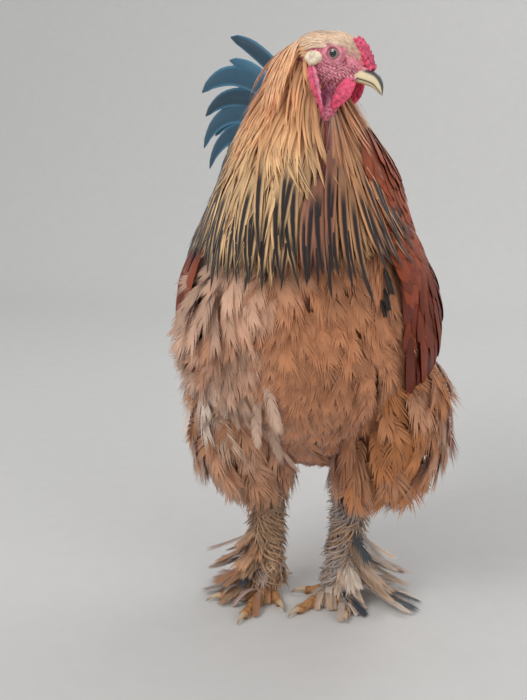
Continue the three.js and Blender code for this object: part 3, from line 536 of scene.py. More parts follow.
# Shader maths
class Value:
    """A shader socket that takes part in Python sums; each operator adds its Math node."""

    def __init__(self, graph, socket):
        self.graph = graph
        self.socket = socket

    def _math(self, operation, *values):
        named = dict(enumerate(values))
        return self.graph.node("ShaderNodeMath", {"operation": operation}, named)

    def __add__(self, other):
        return self._math("ADD", self, other)

    def __sub__(self, other):
        return self._math("SUBTRACT", self, other)

    def __rsub__(self, other):
        return self._math("SUBTRACT", other, self)

    def __mul__(self, other):
        return self._math("MULTIPLY", self, other)

    def __truediv__(self, other):
        return self._math("DIVIDE", self, other)

    def __abs__(self):
        return self._math("ABSOLUTE", self)

    __radd__ = __add__
    __rmul__ = __mul__

    def wave(self):
        return self._math("SINE", self)

    def most(self, other):
        return self._math("MAXIMUM", self, other)

    def smooth(self, low, high):
        """0 below low and 1 above high, with a soft step between, or the reverse."""
        settings = {"interpolation_type": "SMOOTHSTEP"}
        return self.graph.node("ShaderNodeMapRange", settings, {"Value": self, 1: low, 2: high, 3: 0.0, 4: 1.0})


class Graph:
    """The nodes of one finish."""

    def __init__(self, name):
        self.material = bpy.data.materials.new(name)
        self.material.use_nodes = True
        self.tree = self.material.node_tree
        self.surface = self.tree.nodes["Principled BSDF"]

    def node(self, kind, settings=None, values=None, out=0):
        made = self.tree.nodes.new(kind)
        for key, setting in (settings or {}).items():
            if key == "stops":
                for stop, (position, colour) in zip(made.color_ramp.elements, setting):
                    stop.position, stop.color = position, (*colour, 1)
            else:
                setattr(made, key, setting)
        for key, value in (values or {}).items():
            self.plug(made.inputs[key], value)
        return Value(self, made.outputs[out])

    def plug(self, socket, value):
        if isinstance(value, Value):
            self.tree.links.new(value.socket, socket)
        else:
            socket.default_value = value

    def attribute(self, name):
        return self.node("ShaderNodeAttribute", {"attribute_name": name})

    def split(self, value, channel):
        return self.node("ShaderNodeSeparateXYZ", {}, {0: value}, channel)

    def own_map(self, name):
        """Across and along a feather, from 0 to 1."""
        place = self.node("ShaderNodeUVMap", {"uv_map": name})
        return self.split(place, 0), self.split(place, 1)

    def space(self):
        return self.node("ShaderNodeTexCoord", {}, {}, 3)

    def noise(self, scale, detail=3.0, rough=0.55, vector=None):
        values = {"Vector": vector or self.space(), "Scale": scale, "Detail": detail, "Roughness": rough}
        return self.node("ShaderNodeTexNoise", {}, values)

    def cells(self, scale, feature="F1"):
        return self.node("ShaderNodeTexVoronoi", {"feature": feature}, {"Vector": self.space(), "Scale": scale})

    def blend(self, factor, first, second):
        return self.node("ShaderNodeMix", {"data_type": "RGBA"}, {0: factor, 6: first, 7: second}, 2)

    def dim(self, colour, value):
        return self.node("ShaderNodeVectorMath", {"operation": "SCALE"}, {0: colour, "Scale": value})

    def bump(self, height, strength, distance):
        return self.node("ShaderNodeBump", {}, {"Height": height, "Strength": strength, "Distance": distance * MM})

    def finish(self, base, roughness, normal=None, **constants):
        self.plug(self.surface.inputs["Base Color"], base)
        self.plug(self.surface.inputs["Roughness"], roughness)
        if normal is not None:
            self.plug(self.surface.inputs["Normal"], normal)
        for key, value in constants.items():
            self.surface.inputs[key.replace("_", " ").title().replace("Ior", "IOR")].default_value = value
        return self.material


def rgb(colour):
    return (*tuple(colour)[:3], 1.0)


def plume_finish(name, dark, barbs=26.0, roughness=0.62, sheen=0.25, depth=0.4, gloss=None, painted_root_shade=0.5):
    """Feather: its own colour with painted shade towards the root, a dark streak and tip where marked, slanting barbs
    and a pale shaft.
    """
    g = Graph(name)
    across, along = g.own_map("feather")
    plumage = g.attribute("plumage")
    marks = g.attribute("marks")
    streak, tip, tint = (g.split(marks, i) for i in range(3))
    off = abs(across - 0.5) * 2
    lines = ((along * barbs - off * barbs * 0.16 + tint * 9) * 6.283).wave()
    mottle = g.noise(55.0, 2.0)
    # Painted shade: each feather darkens towards its root, where the feathers over it shade it.
    shade = along.smooth(-0.35, 0.75) * painted_root_shade + (1 - painted_root_shade)
    shade = shade * (lines * 0.07 + 1.0) * (mottle * 0.5 + 0.75) * (tint * 0.5 + 0.75)
    base = g.dim(plumage, shade)
    streaked = streak * (1 - off.smooth(0.3, 0.75)) * along.smooth(0.15, 0.4)
    tipped = tip * along.smooth(0.62, 0.9)
    base = g.blend(streaked.most(tipped), base, rgb(dark))
    shaft = (1 - off.smooth(0.0, 0.16)) * (1 - along.smooth(0.7, 1.0)) * 0.25
    base = g.blend(shaft * (1 - streak), base, g.dim(plumage, 1.35))
    if gloss is not None:
        # Painted sheen: the gloss colour laid over part of each vane, and a brighter painted highlight along the vane's
        # edges.
        base = g.blend(tint.smooth(0.2, 0.9) * along.smooth(0.1, 0.6) * 0.75, base, rgb(gloss))
        base = g.blend(off.smooth(0.6, 0.95) * 0.45, base, rgb([c * 2.2 for c in gloss]))
    normal = g.bump(lines * 0.5 + mottle, depth, 0.4)
    rough = mottle * 0.3 + (roughness - 0.15)
    return g.finish(base, rough, normal, sheen_weight=sheen, sheen_roughness=0.5, specular_ior_level=0.3)


def flesh_finish(name, fold_scale, pore_scale, roughness=0.42, strength=0.5, shine=0.12):
    """Bare skin: its own colour with painted shade darkening the folds, with pores and fine wrinkles."""
    g = Graph(name)
    plumage = g.attribute("plumage")
    folds = g.noise(fold_scale, 4.0, 0.65)
    pores = g.cells(pore_scale)
    blotch = g.noise(fold_scale * 0.22, 2.0)
    crease = folds.smooth(0.36, 0.62)
    # Painted shade: the troughs of the fold noise, which the bump sinks, are darker.
    base = g.dim(plumage, crease * 0.42 + 0.66)
    base = g.blend(blotch.smooth(0.42, 0.7) * 0.35, base, g.dim(plumage, 1.3))
    normal = g.bump(folds * 1.2 + pores * 0.5, strength, 0.7)
    return g.finish(base, (1 - crease) * 0.18 + roughness, normal, subsurface_weight=shine,
                    subsurface_scale=0.004, specular_ior_level=0.4)


def horn_finish(name, tone, dark, roughness=0.34):
    g = Graph(name)
    marks = g.attribute("marks")
    grain = g.noise(140.0, 4.0)
    base = g.blend(grain.smooth(0.35, 0.7) * 0.35, rgb(tone), g.dim(g.attribute("plumage"), 1.15))
    base = g.blend(g.split(marks, 0), base, rgb(dark))
    return g.finish(base, grain * 0.25 + (roughness - 0.1), g.bump(grain, 0.25, 0.3), specular_ior_level=0.45,
                    subsurface_weight=0.08, subsurface_scale=0.003)


def eye_finish(name, iris, rim):
    """Pupil, iris and rim by the share of the way round from the front of the eyeball."""
    g = Graph(name)
    around, polar = g.own_map("eye")
    rays = g.noise(9.0, 4.0, 0.7, g.node("ShaderNodeCombineXYZ", {}, {0: (around * 6.283).wave() * 2, 1: polar * 3}))
    tone = g.blend(rays.smooth(0.35, 0.65), g.dim_colour(iris, 0.55), g.dim_colour(iris, 1.25))
    base = g.blend(polar.smooth(0.13, 0.145), rgb((0.004, 0.004, 0.005)), tone)
    base = g.blend(polar.smooth(0.215, 0.245), base, rgb(rim))
    return g.finish(base, 0.06, None, coat_weight=1.0, coat_roughness=0.02, specular_ior_level=0.6)


Graph.dim_colour = staticmethod(lambda colour, value: rgb([c * value for c in colour]))


def linear(code):
    """A colour from its six hexadecimal digits, as Blender's linear values."""
    values = [int(code[i:i + 2], 16) / 255 for i in (0, 2, 4)]
    return tuple(v / 12.92 if v <= 0.04045 else ((v + 0.055) / 1.055) ** 2.4 for v in values)


def tone(name, code):
    return FloatVectorProperty(
        name=name, description=f"Colour of the {name.lower()}", subtype="COLOR", size=3, min=0, max=1,
        default=linear(code))


def length(name, millimetres):
    return FloatProperty(
        name=name, description=f"{name} in metres", subtype="DISTANCE", unit="LENGTH",
        default=millimetres * MM, min=0, precision=4)


def many(name, default):
    return IntProperty(name=name, description=f"Number of {name.lower()}", default=default, min=1)


class PlumageColours(bpy.types.PropertyGroup):
    crown: tone("Crown", "fcdcbc")
    hackle: tone("Upper hackle", "fab67e")
    hackle_shoulder: tone("Sides of the hackle", "cc8250")
    hackle_low: tone("Lower hackle", "f4c68e")
    throat: tone("Throat feathers", "8c4036")
    stripe: tone("Streaks and dark tips", "20120e")
    breast: tone("Breast", "c2825a")
    breast_pale: tone("Right side of the breast", "cea68c")
    # The belly tone is partly its own darker colour and partly painted shade from under the body
    belly: tone("Belly", "9c5c38")
    thigh: tone("Thighs", "bc7846")
    thigh_pale: tone("Right thigh", "ca9e82")
    cream: tone("Cream tufts", "f6e4d2")
    wing: tone("Wings", "520e06")
    wing_orange: tone("Wing shoulders", "a0461e")
    saddle: tone("Saddle", "b4642e")
    tail: tone("Tail", "203440")
    # Colour of the painted sheen on the tail feathers
    tail_gloss: tone("Tail gloss", "40728c")
    shank: tone("Shank feathers", "b08c6c")
    down: tone("Grey down", "a8a09c")


class FleshColours(bpy.types.PropertyGroup):
    face: tone("Face", "ec909e")
    face_deep: tone("Cheek folds", "b84662")
    comb: tone("Comb", "e45c7a")
    wattle: tone("Wattles", "f05a7c")
    lappet: tone("Lappets", "ea6080")
    earlobe: tone("Earlobes", "fceacc")
    beak: tone("Beak", "ecdab0")
    beak_dark: tone("Beak ridge", "40404a")
    toe: tone("Toes", "c08a58")
    claw: tone("Claws", "c8b090")
    iris: tone("Iris", "9c8478")
    eye_rim: tone("Eye rim", "5c3434")


class CoatSizes(bpy.types.PropertyGroup):
    hackle_length: length("Hackle length", 95)
    hackle_width: length("Hackle width", 7.5)
    contour_length: length("Breast feather length", 32)
    contour_width: length("Breast feather width", 29)
    barb_width: length("Width of a barb", 1.6)
    fluff_length: length("Thigh feather length", 34)
    fluff_width: length("Thigh feather width", 30)
    coat_depth: length("Coat depth over the skin", 9)
    hackle_count: many("Hackle feathers", 3800)
    breast_count: many("Feathers on each side of the breast", 285)
    fluff_count: many("Feathers of a thigh", 200)


class StudioSettings(bpy.types.PropertyGroup):
    distance: length("Camera distance", 1050)
    height: length("Camera height", 550)
    azimuth: FloatProperty(name="Camera azimuth", description="Turn round the bird", subtype="ANGLE",
                           unit="ROTATION", default=math.radians(10))
    pitch: FloatProperty(name="Camera pitch", description="Upward tilt", subtype="ANGLE", unit="ROTATION",
                         default=math.radians(-13.8))
    lens_pixels: FloatProperty(name="Lens", description="Focal length in pixels of a 700 pixel high image",
                               default=1000, min=1)
    aside: length("Camera offset to its left", 49)
    floor: tone("Floor", "d8d6d2")
    key: FloatProperty(name="Key light", description="Power of the key light", subtype="POWER", unit="POWER",
                       default=26)
    fill: FloatProperty(name="Fill light", description="Power of the fill light", subtype="POWER",
                        unit="POWER", default=9)


def settings():
    scene = bpy.context.scene
    return scene.brahma_plumage, scene.brahma_flesh, scene.brahma_coat


def colour_array(*colours):
    return [np.array(tuple(c)) for c in colours]


# Colours over the bird, the same for its skin and its feathers
def blend_colours(first, second, share):
    return mix(np.asarray(first), np.asarray(second), np.asarray(share)[..., None])


def trunk_colour(u, angle):
    """Plumage colour of the trunk at a ring and an angle from the breast."""
    p, _, _ = settings()
    breast, pale, belly, saddle, hackle = colour_array(p.breast, p.breast_pale, p.belly, p.saddle, p.hackle)
    place = trunk_place(u, angle)
    patchy = ripple(place, 70, 5)
    colour = blend_colours(breast, pale, smooth(-np.sin(angle) + 0.35 * patchy, 0.1, 0.9) * 0.9)
    # Lower rings turn to the belly tone: its own darker colour together with painted shade under the body.
    colour = blend_colours(colour, belly, smooth(u + 0.4 * patchy, 6.0, 8.0) * 0.75)
    back = (1 - np.cos(angle)) / 2
    colour = blend_colours(colour, saddle, smooth(back, 0.5, 0.72))
    return blend_colours(colour, hackle, smooth(-u, -3.4, -2.2))


def thigh_colour(leg, place):
    p, _, _ = settings()
    thigh, pale, cream = colour_array(p.thigh, p.thigh_pale, p.cream)
    patchy = ripple(place, 60, 15)
    share = 0.75 if leg == "right" else 0.15
    colour = blend_colours(thigh, pale, np.clip(share + 0.4 * patchy, 0, 1))
    tufts = smooth(patchy + ripple(place, 22, 17), 0.9, 1.7) * (0.7 if leg == "right" else 0.15)
    return blend_colours(colour, cream, tufts)


def marks_of(streak, tip, tint):
    return np.stack([np.broadcast_to(streak, tint.shape), np.broadcast_to(tip, tint.shape), tint], -1)


# Wings: places along the wing from its bend and across it from its lower edge
def wing_middle(a):
    return np.radians(mix(99, 92, a))


def wing_half(a):
    return np.radians(mix(12, 34, smooth(a, 0, 0.3)) * (1 - 0.72 * smooth(a, 0.35, 1)))


def wing_surface(side):
    def place(a, b):
        u = mix(WING_START, WING_END, a)
        angle = side * (wing_middle(a) + b * wing_half(a) * np.where(b < 0, 1.42, 1.0))
        lift = mix(0.5, 7.5, smooth(a, 0, 0.5)) - 2 * smooth(a, 0.6, 1)
        at, normal, _, _ = TRUNK.frame(u, angle)
        return at + normal * lift[..., None]
    return Surface(place, side)


WINGS = {"left": wing_surface(1), "right": wing_surface(-1)}


def in_tufts(rng, u, v, blades, fan, scatter=0.15):
    """Each root repeated as several blades that fan out, with a share of its own for each tuft and blade."""
    tuft = np.repeat(np.arange(len(u)), blades)
    turn = np.tile(np.linspace(-1, 1, blades), len(u))
    slant = turn * fan + rng.normal(0, scatter * fan, len(tuft))
    shorter = 1 - 0.22 * turn ** 2 - rng.uniform(0, 0.14, len(tuft))
    return tuft, slant, shorter


# Bare skin and horn
def bent_ring(centre, across, up, radii, thick, around=14, steps=44):
    """A ring of skin such as an eyelid, as a limb whose ends overlap."""
    turn = np.linspace(0, 2 * math.pi * 1.04, steps)[:, None]
    points = centre + across * radii[0] * np.cos(turn) + up * radii[1] * np.sin(turn)
    return limb(points, thick, around, steps * 2)


def flap(top, bottom, width, thickness, outward, folds, taper=0.0, steps=34, around=40):
    """A hanging flap of bare skin with a thicker rim."""
    top, bottom, outward = (np.asarray(v, float) for v in (top, bottom, outward))
    down = bottom - top
    across = unit(np.cross(down, outward))
    s = np.linspace(0, 1, steps)[:, None]
    angle = np.linspace(0, 2 * math.pi, around, endpoint=False)[None, :]
    share = np.sin(math.pi * mix(0.16, 0.955, s ** 0.85)) ** 0.75 * (1 - taper * s)
    rim = 0.75 + 0.5 * np.abs(np.cos(angle)) ** 3
    wave = folds * np.sin(3 * angle + 5 * s) + 2.5 * np.sin(math.pi * s)
    w = width / 2 * share * np.cos(angle)
    t = thickness / 2 * share * np.sin(angle) * rim + wave
    rings = top + down * s[..., None] + across * w[..., None] + outward * t[..., None]
    return loft(from_head(rings))


def toe_heading(leg, toe):
    inward = -1 if leg == "left" else 1
    turn = math.radians(FOOT_HEADINGS[leg] + TOES[toe][0])
    return np.array([inward * math.sin(turn), -math.cos(turn), 0.0])


def toe_line(leg, toe):
    ankle, heading, length = ANKLES[leg], toe_heading(leg, toe), TOES[toe][1]
    at = [(0, 13), (0.34 * length, 7), (0.72 * length, 4.6), (length + 8, 4)]
    return np.array([[ankle[0] + heading[0] * run, ankle[1] + heading[1] * run, z] for run, z in at])


def foot_parts(leg):
    ankle, hock = ANKLES[leg], HOCKS[leg]
    parts = [
        ball([ankle[0], ankle[1], 13], [12, 12, 10.5]),
        limb([hock + Z * 30, hock, mix(hock, ankle, 0.5), [ankle[0], ankle[1], 15]],
             lambda s: mix(15, 8.6, smooth(s, 0, 0.5)) + 2 * smooth(s, 0.8, 1), 28, 80),
    ]
    for toe, (_, reach, radius) in TOES.items():
        def thick(s, radius=radius, reach=reach):
            knuckle = 1 + 0.09 * math.cos(6 * math.pi * s)
            scute = 1 + 0.045 * abs(math.sin(math.pi * s * (reach + 8) / 4.2))
            return radius * mix(1.1, 0.66, s) * knuckle * scute * 0.93
        parts.append(limb(toe_line(leg, toe), thick, 22, 90))
    return parts


def head_parts():
    s = np.linspace(0, len(SKULL_ROWS) - 1, 60)[:, None]
    angle = np.linspace(0, 2 * math.pi, 72, endpoint=False)[None, :]
    skull = skull_place(np.broadcast_to(s, (60, 72)), np.broadcast_to(angle, (60, 72)))
    at = to_head(skull)
    snout = 1 - 0.42 * smooth(at[..., 0], 17, 27)
    middle = -9.5 * smooth(at[..., 0], 14, 24)
    slim = np.stack([at[..., 0], at[..., 1] * snout, mix(middle, at[..., 2], snout)], -1)
    parts = [loft(from_head(slim))]
    throat = [from_head([3, 0, -8]), from_head([1, 0, -34]), [23, -84, 540], [16, -80, 512]]
    parts.append(limb(throat, lambda s: mix(13.5, 11.5, s), 48, 60))
    for side in (-1, 1):
        middle = np.array([0.3, side * 20.9, 0.2])
        forward = unit(np.array([1.0, -side * 0.105, 0.0]))
        for radii, thick in (((6.8, 6.0), 1.45), ((9.3, 8.6), 0.95)):
            centre = middle - np.array([0, side * 0.9 * (radii[0] > 7), 0])
            points, faces = bent_ring(centre, forward, Z, radii, lambda s, thick=thick: thick)
            parts.append((from_head(points), faces))
        brow = limb([[11, side * 17.2, 5.5], [4, side * 20.2, 8.4], [-5, side * 20.8, 8.2], [-12, side * 19.4, 4.5]],
                    lambda s: 2.4 * math.sin(math.pi * mix(0.12, 0.88, s)), 16, 30)
        parts.append((from_head(brow[0]), brow[1]))
        gape = limb([[25, side * 8.6, -15.5], [20, side * 10.8, -16.0], [13, side * 13.6, -17.5]],
                    lambda s: 1.7 * math.sin(math.pi * mix(0.2, 0.9, s)), 14, 30)
        parts.append((from_head(gape[0]), gape[1]))
    return parts


def crease_face(points, normals):
    """Fine wrinkles round the eye and down the cheek, and coarse ones on the throat."""
    at = to_head(points)
    f, height = at[:, 0], at[:, 2]
    from_eye = np.hypot(f - 0.3, height - 0.2)
    bare = smooth(-height, -5, 1) * smooth(f, -26, -18) * smooth(from_eye, 8.2, 10.5)
    wander = ripple(points, 9, 41)
    rings = np.sin(from_eye * 2.6 + 1.6 * wander)
    slanted = np.sin((f * 0.7 + height * 1.1) * 2.1 + 2.2 * ripple(points, 12, 43))
    pebbles = ripple(points, 3.4, 44, 2)
    depth = 0.5 * rings * bump(from_eye, 11, 6) + 0.48 * slanted * smooth(from_eye, 12, 18) + 0.42 * pebbles
    throat = smooth(-height, 30, 40)
    folds = np.sin(points[:, 2] * 0.9 + 2.4 * ripple(points, 20, 45)) * 0.35 + 0.4 * pebbles
    slit = np.exp(-(((at - [28.0, 0, -2.4]) / [2.6, 40, 0.9]) ** 2).sum(1))
    near_lid = bump(from_eye, 6.4, 1.6)
    notch = 0.12 * np.sin(np.arctan2(height, f) * 34) * near_lid
    depth = mix(bare * depth, folds, throat) + notch - 2.0 * slit
    return points + normals * depth[:, None], depth


def head_colour(points, depth):
    p, flesh, _ = settings()
    face, deep, crown, lobe = colour_array(flesh.face, flesh.face_deep, p.crown, flesh.earlobe)
    at = to_head(points)
    f, height = at[:, 0], at[:, 2]
    patchy = ripple(points, 14, 51)
    pale = face * 1.25 + 0.06
    colour = blend_colours(face, deep, smooth(patchy + 0.7 * ripple(points, 4, 52), 0.1, 1.4) * 0.7)
    cheek = smooth(-height, 3, 12) * (1 - smooth(-height, 34, 44))
    # Painted shade: wrinkle troughs darken, and the deepest troughs and the nostril slit go nearly black as painted
    # shadow.
    colour = blend_colours(colour, deep, smooth(-depth, 0.1, 0.6) * 0.75)
    colour = blend_colours(colour, deep * 0.2, smooth(-depth, 0.9, 1.3))
    # Painted highlight: the raised wrinkle ridges on the cheek are pale.
    colour = blend_colours(colour, (0.92, 0.62, 0.66), smooth(depth, 0.15, 0.7) * 0.75 * cheek)
    colour = blend_colours(colour, pale, smooth(height + 0.5 * f, 0, 12) * 0.6)
    shadow = smooth(-height, 22, 38) * (1 - 0.75 * smooth(f, 4, 12))
    colour = blend_colours(colour, deep * np.array([0.5, 0.5, 0.8]), shadow * 0.8)
    colour = blend_colours(colour, (0.86, 0.5, 0.52), bump(np.hypot(f - 0.3, height - 0.2), 7.2, 1.2) * 0.3)
    colour = blend_colours(colour, deep * 0.55, bump(np.hypot(f - 0.3, height - 0.2), 5.3, 0.9) * 0.6)
    return blend_colours(colour, crown * 0.85, smooth(height - 0.1 * f, 6.0, 9.5) * smooth(-f, -24, -14))


def body_parts():
    u = np.linspace(0.2, len(TRUNK_ROWS) - 1, 70)[:, None]
    angle = np.linspace(0, 2 * math.pi, 60, endpoint=False)[None, :]
    u, angle = np.broadcast_arrays(u, angle)
    at, normal, _, _ = TRUNK.frame(u, angle)
    depth = settings()[2].coat_depth / MM
    sink = mix(3, depth, smooth(u, 3, 5))
    parts = [loft(at - normal * sink[..., None])]
    for leg, surface in THIGHS.items():
        s, round_ = np.broadcast_arrays(np.linspace(0, 1, 40)[:, None], angle[:1])
        at, normal, _, _ = surface.frame(s, round_)
        parts.append(loft(at - normal * 16))
        parts.append(limb([HOCKS[leg] + Z * 60, HOCKS[leg] - Z * 20], lambda s: mix(24, 14, s), 24, 20))
    return parts


def body_colour(points):
    """Colour of the coat nearest to each point of the skin."""
    u, angle = np.meshgrid(np.linspace(0, 12, 60), np.linspace(0, 2 * math.pi, 48, endpoint=False), indexing="ij")
    places, colours = [trunk_place(u, angle)], [trunk_colour(u, angle)]
    for leg, surface in THIGHS.items():
        s, round_ = np.meshgrid(np.linspace(0, 1, 24), angle[0], indexing="ij")
        at = surface.place(s, round_)
        places.append(at)
        colours.append(thigh_colour(leg, at))
    places = np.concatenate([at.reshape(-1, 3) for at in places])
    colours = np.concatenate([colour.reshape(-1, 3) for colour in colours])
    tree = KDTree(len(places))
    for i, at in enumerate(places):
        tree.insert(at, i)
    tree.balance()
    return colours[[tree.find(at)[1] for at in points]]


class Make(bpy.types.Operator):
    """One piece of the bird."""
    bl_options = {"REGISTER", "UNDO"}

    def execute(self, context):
        before = len(bpy.data.objects)
        self.build(*settings())
        if len(bpy.data.objects) == before:
            raise RuntimeError(f"{self.bl_label} made nothing")
        return {"FINISHED"}


class OBJECT_OT_brahma_skin(Make):
    """One skin over the head, throat, body, thighs and feet"""
    bl_idname = "object.brahma_skin"
    bl_label = "Skin"

    def build(self, plumage, flesh, coat):
        head = remeshed("head_skin", head_parts(), 0.7, 2)
        mesh_at = mesh_points(head)
        creased, depth = crease_face(mesh_at, mesh_normals(head))
        set_points(head, creased)
        paint(head, "plumage", head_colour(mesh_at, depth))
        body = remeshed("body_skin", body_parts(), 4.0, 4)
        paint(body, "plumage", body_colour(mesh_points(body)))
        pieces = [object_of("skin", head), object_of("body_skin", body)]
        for leg in ANKLES:
            foot = remeshed("foot_skin", foot_parts(leg), 1.0, 1)
            at = mesh_points(foot)
            at[:, 2] = np.maximum(at[:, 2], 0.25)
            set_points(foot, at)
            toe = blend_colours(tuple(flesh.toe), np.array(tuple(flesh.toe)) * 0.55, smooth(ripple(at, 9, 61), 0, 1.2))
            paint(foot, "plumage", toe)
            pieces.append(object_of("foot_skin", foot))
        with bpy.context.temp_override(active_object=pieces[0], selected_editable_objects=pieces):
            bpy.ops.object.join()
        material = flesh_finish("Bare skin", 170.0, 900.0)
        finish_piece(pieces[0], material, "face_skin", "head", "torso", "thigh_left", "thigh_right",
                     "foot_left", "foot_right")


class OBJECT_OT_brahma_eyes(Make):
    """Eyeballs with pupil, iris and rim"""
    bl_idname = "object.brahma_eyes"
    bl_label = "Eyes"

    def build(self, plumage, flesh, coat):
        material = eye_finish("Eye", tuple(flesh.iris), tuple(flesh.eye_rim))
        polar, around = np.meshgrid(np.linspace(0.002, 1, 60) * math.pi * 0.995, np.linspace(
            0, 2 * math.pi, 72, endpoint=False), indexing="ij")
        for name, side in (("left", 1), ("right", -1)):
            rings = np.stack([np.sin(polar) * np.cos(around), side * np.cos(polar), np.sin(polar) * np.sin(around)], -1)
            points, faces = joined([loft(from_head(rings * EYE_RADIUS + np.array([0.3, side * EYE_OFFSET, 0.2])))])
            piece = from_faces(f"eyeball_{name}", points, faces)
            ends = [[0.0, 0.0], [0.0, 1.0]]
            own = np.stack([around / (2 * math.pi), polar / math.pi], -1).reshape(-1, 2)
            lay_map(piece.data, "eye", np.concatenate([own, ends]))
            finish_piece(piece, material, "eye", f"eye_{name}")


class OBJECT_OT_brahma_comb(Make):
    """Pea comb: three rows of beads down the forehead"""
    bl_idname = "object.brahma_comb"
    bl_label = "Comb"

    def build(self, plumage, flesh, coat):
        line = row_at(COMB_LINE, np.linspace(0, 3, 60))
        base = limb(COMB_LINE, lambda s: 2.2 + 3.0 * math.sin(math.pi * mix(0.12, 0.92, s)), 32, 60)
        parts = [(from_head(base[0] * np.array([1, 1.25, 1])), base[1])]
        for row, size, count in ((-1, 3.4, 7), (0, 3.8, 8), (1, 3.4, 7)):
            for k in range(count):
                s = mix(0.02, 0.98, k / (count - 1))
                spot = min(58, max(1, round(s * 59)))
                tangent = unit(line[spot + 1] - line[spot - 1])
                up = np.array([-tangent[2], 0, tangent[0]])
                bulk = size * (0.7 + 0.34 * math.sin(math.pi * mix(0.1, 0.95, s))) * (0.92 + 0.08 * math.sin(7 * k + row))
                centre = line[spot] + up * (1.0 if row else 3.2 + 0.7 * (k % 2))
                centre = centre + np.array([0, row * 6.4 * mix(1, 0.68, s), 0])
                bead = ball(centre, [bulk * 0.66, bulk * 0.74, bulk * 1.1])
                parts.append((from_head(bead[0]), bead[1]))
        mesh = remeshed("comb_skin", parts, 0.5, 1)
        at = mesh_points(mesh)
        grain = ripple(at, 4.5, 71)
        set_points(mesh, at + mesh_normals(mesh) * (0.22 * grain)[:, None])
        colour = np.array(tuple(flesh.comb))
        paint(mesh, "plumage", blend_colours(colour * 1.15, colour * 0.6, smooth(grain, -0.6, 1.4)))
        finish_piece(object_of("comb_beads", mesh), flesh_finish("Comb", 260.0, 1200.0), "comb_skin", "comb")


class OBJECT_OT_brahma_wattles(Make):
    """Wattles, lappets and earlobes"""
    bl_idname = "object.brahma_wattles"
    bl_label = "Wattles and earlobes"

    def build(self, plumage, flesh, coat):
        red = flesh_finish("Wattle", 210.0, 1100.0, 0.38, 0.6)
        pale = flesh_finish("Earlobe", 190.0, 1000.0, 0.5, 0.35)
        for name, side in (("left", 1), ("right", -1)):
            shapes = {
                "wattle": flap([22, side * 11.5, -17], [14, side * 16.5, -48], 15, 4.5, [0.15, side, 0], 0.3),
                "lappet": flap([-15.5, side * 24.5, -17], [16, side * 25.5, -61], 12, 4.5, [0, side, 0], 0.3, 0.75),
                "earlobe": ball([0, 0, 0], [8.6, 4.6, 7.2], 40, 28),
            }
            lobe, faces = shapes["earlobe"]
            lobe = lobe * np.stack([1 - 0.4 * smooth(-lobe[:, 2], 0, 7), 1 + 0 * lobe[:, 0], 1 + 0 * lobe[:, 0]], -1)
            lobe[:, 2] += 0.16 * lobe[:, 0]
            shapes["earlobe"] = (from_head(lobe + np.array([-16.5, side * 22.5, -9.5])), faces)
            tones = {"wattle": flesh.wattle, "lappet": flesh.lappet, "earlobe": flesh.earlobe}
            for kind, shape in shapes.items():
                mesh = remeshed(kind, [shape], 0.55, 1)
                at = mesh_points(mesh)
                wrinkle = ripple(at, 5, 81, 4)
                folds = np.sin(to_head(at)[:, 0] * 1.3 + 1.5 * ripple(at, 14, 82))
                rough = 0.25 if kind == "earlobe" else 1.0
                set_points(mesh, at + mesh_normals(mesh) * (rough * (0.28 * wrinkle + 0.18 * folds))[:, None])
                colour = np.array(tuple(tones[kind]))
                shade = colour * np.array([0.72, 0.5, 0.55]) if kind != "earlobe" else colour * [0.9, 0.68, 0.6]
                amount = 0.15 if kind == "earlobe" else 1.0
                colours = blend_colours(colour, shade, smooth(wrinkle, -0.2, 1.6) * amount)
                if kind == "lappet":
                    forward = to_head(at)[:, 0] - np.interp(to_head(at)[:, 2], [-61, -17], [16, -15.5])
                    colours = blend_colours(colours, (0.95, 0.36, 0.48), smooth(forward, 1.5, 3.0) * 0.6)
                    colours = blend_colours(colours, colour * 0.5, bump(forward, 0.5, 0.6) * 0.6)
                paint(mesh, "plumage", colours)
                slot = "earlobe_skin" if kind == "earlobe" else "comb_skin"
                finish_piece(object_of(f"{kind}_flesh_{name}", mesh), pale if kind == "earlobe" else red, slot,
                             f"{kind}_{name}")


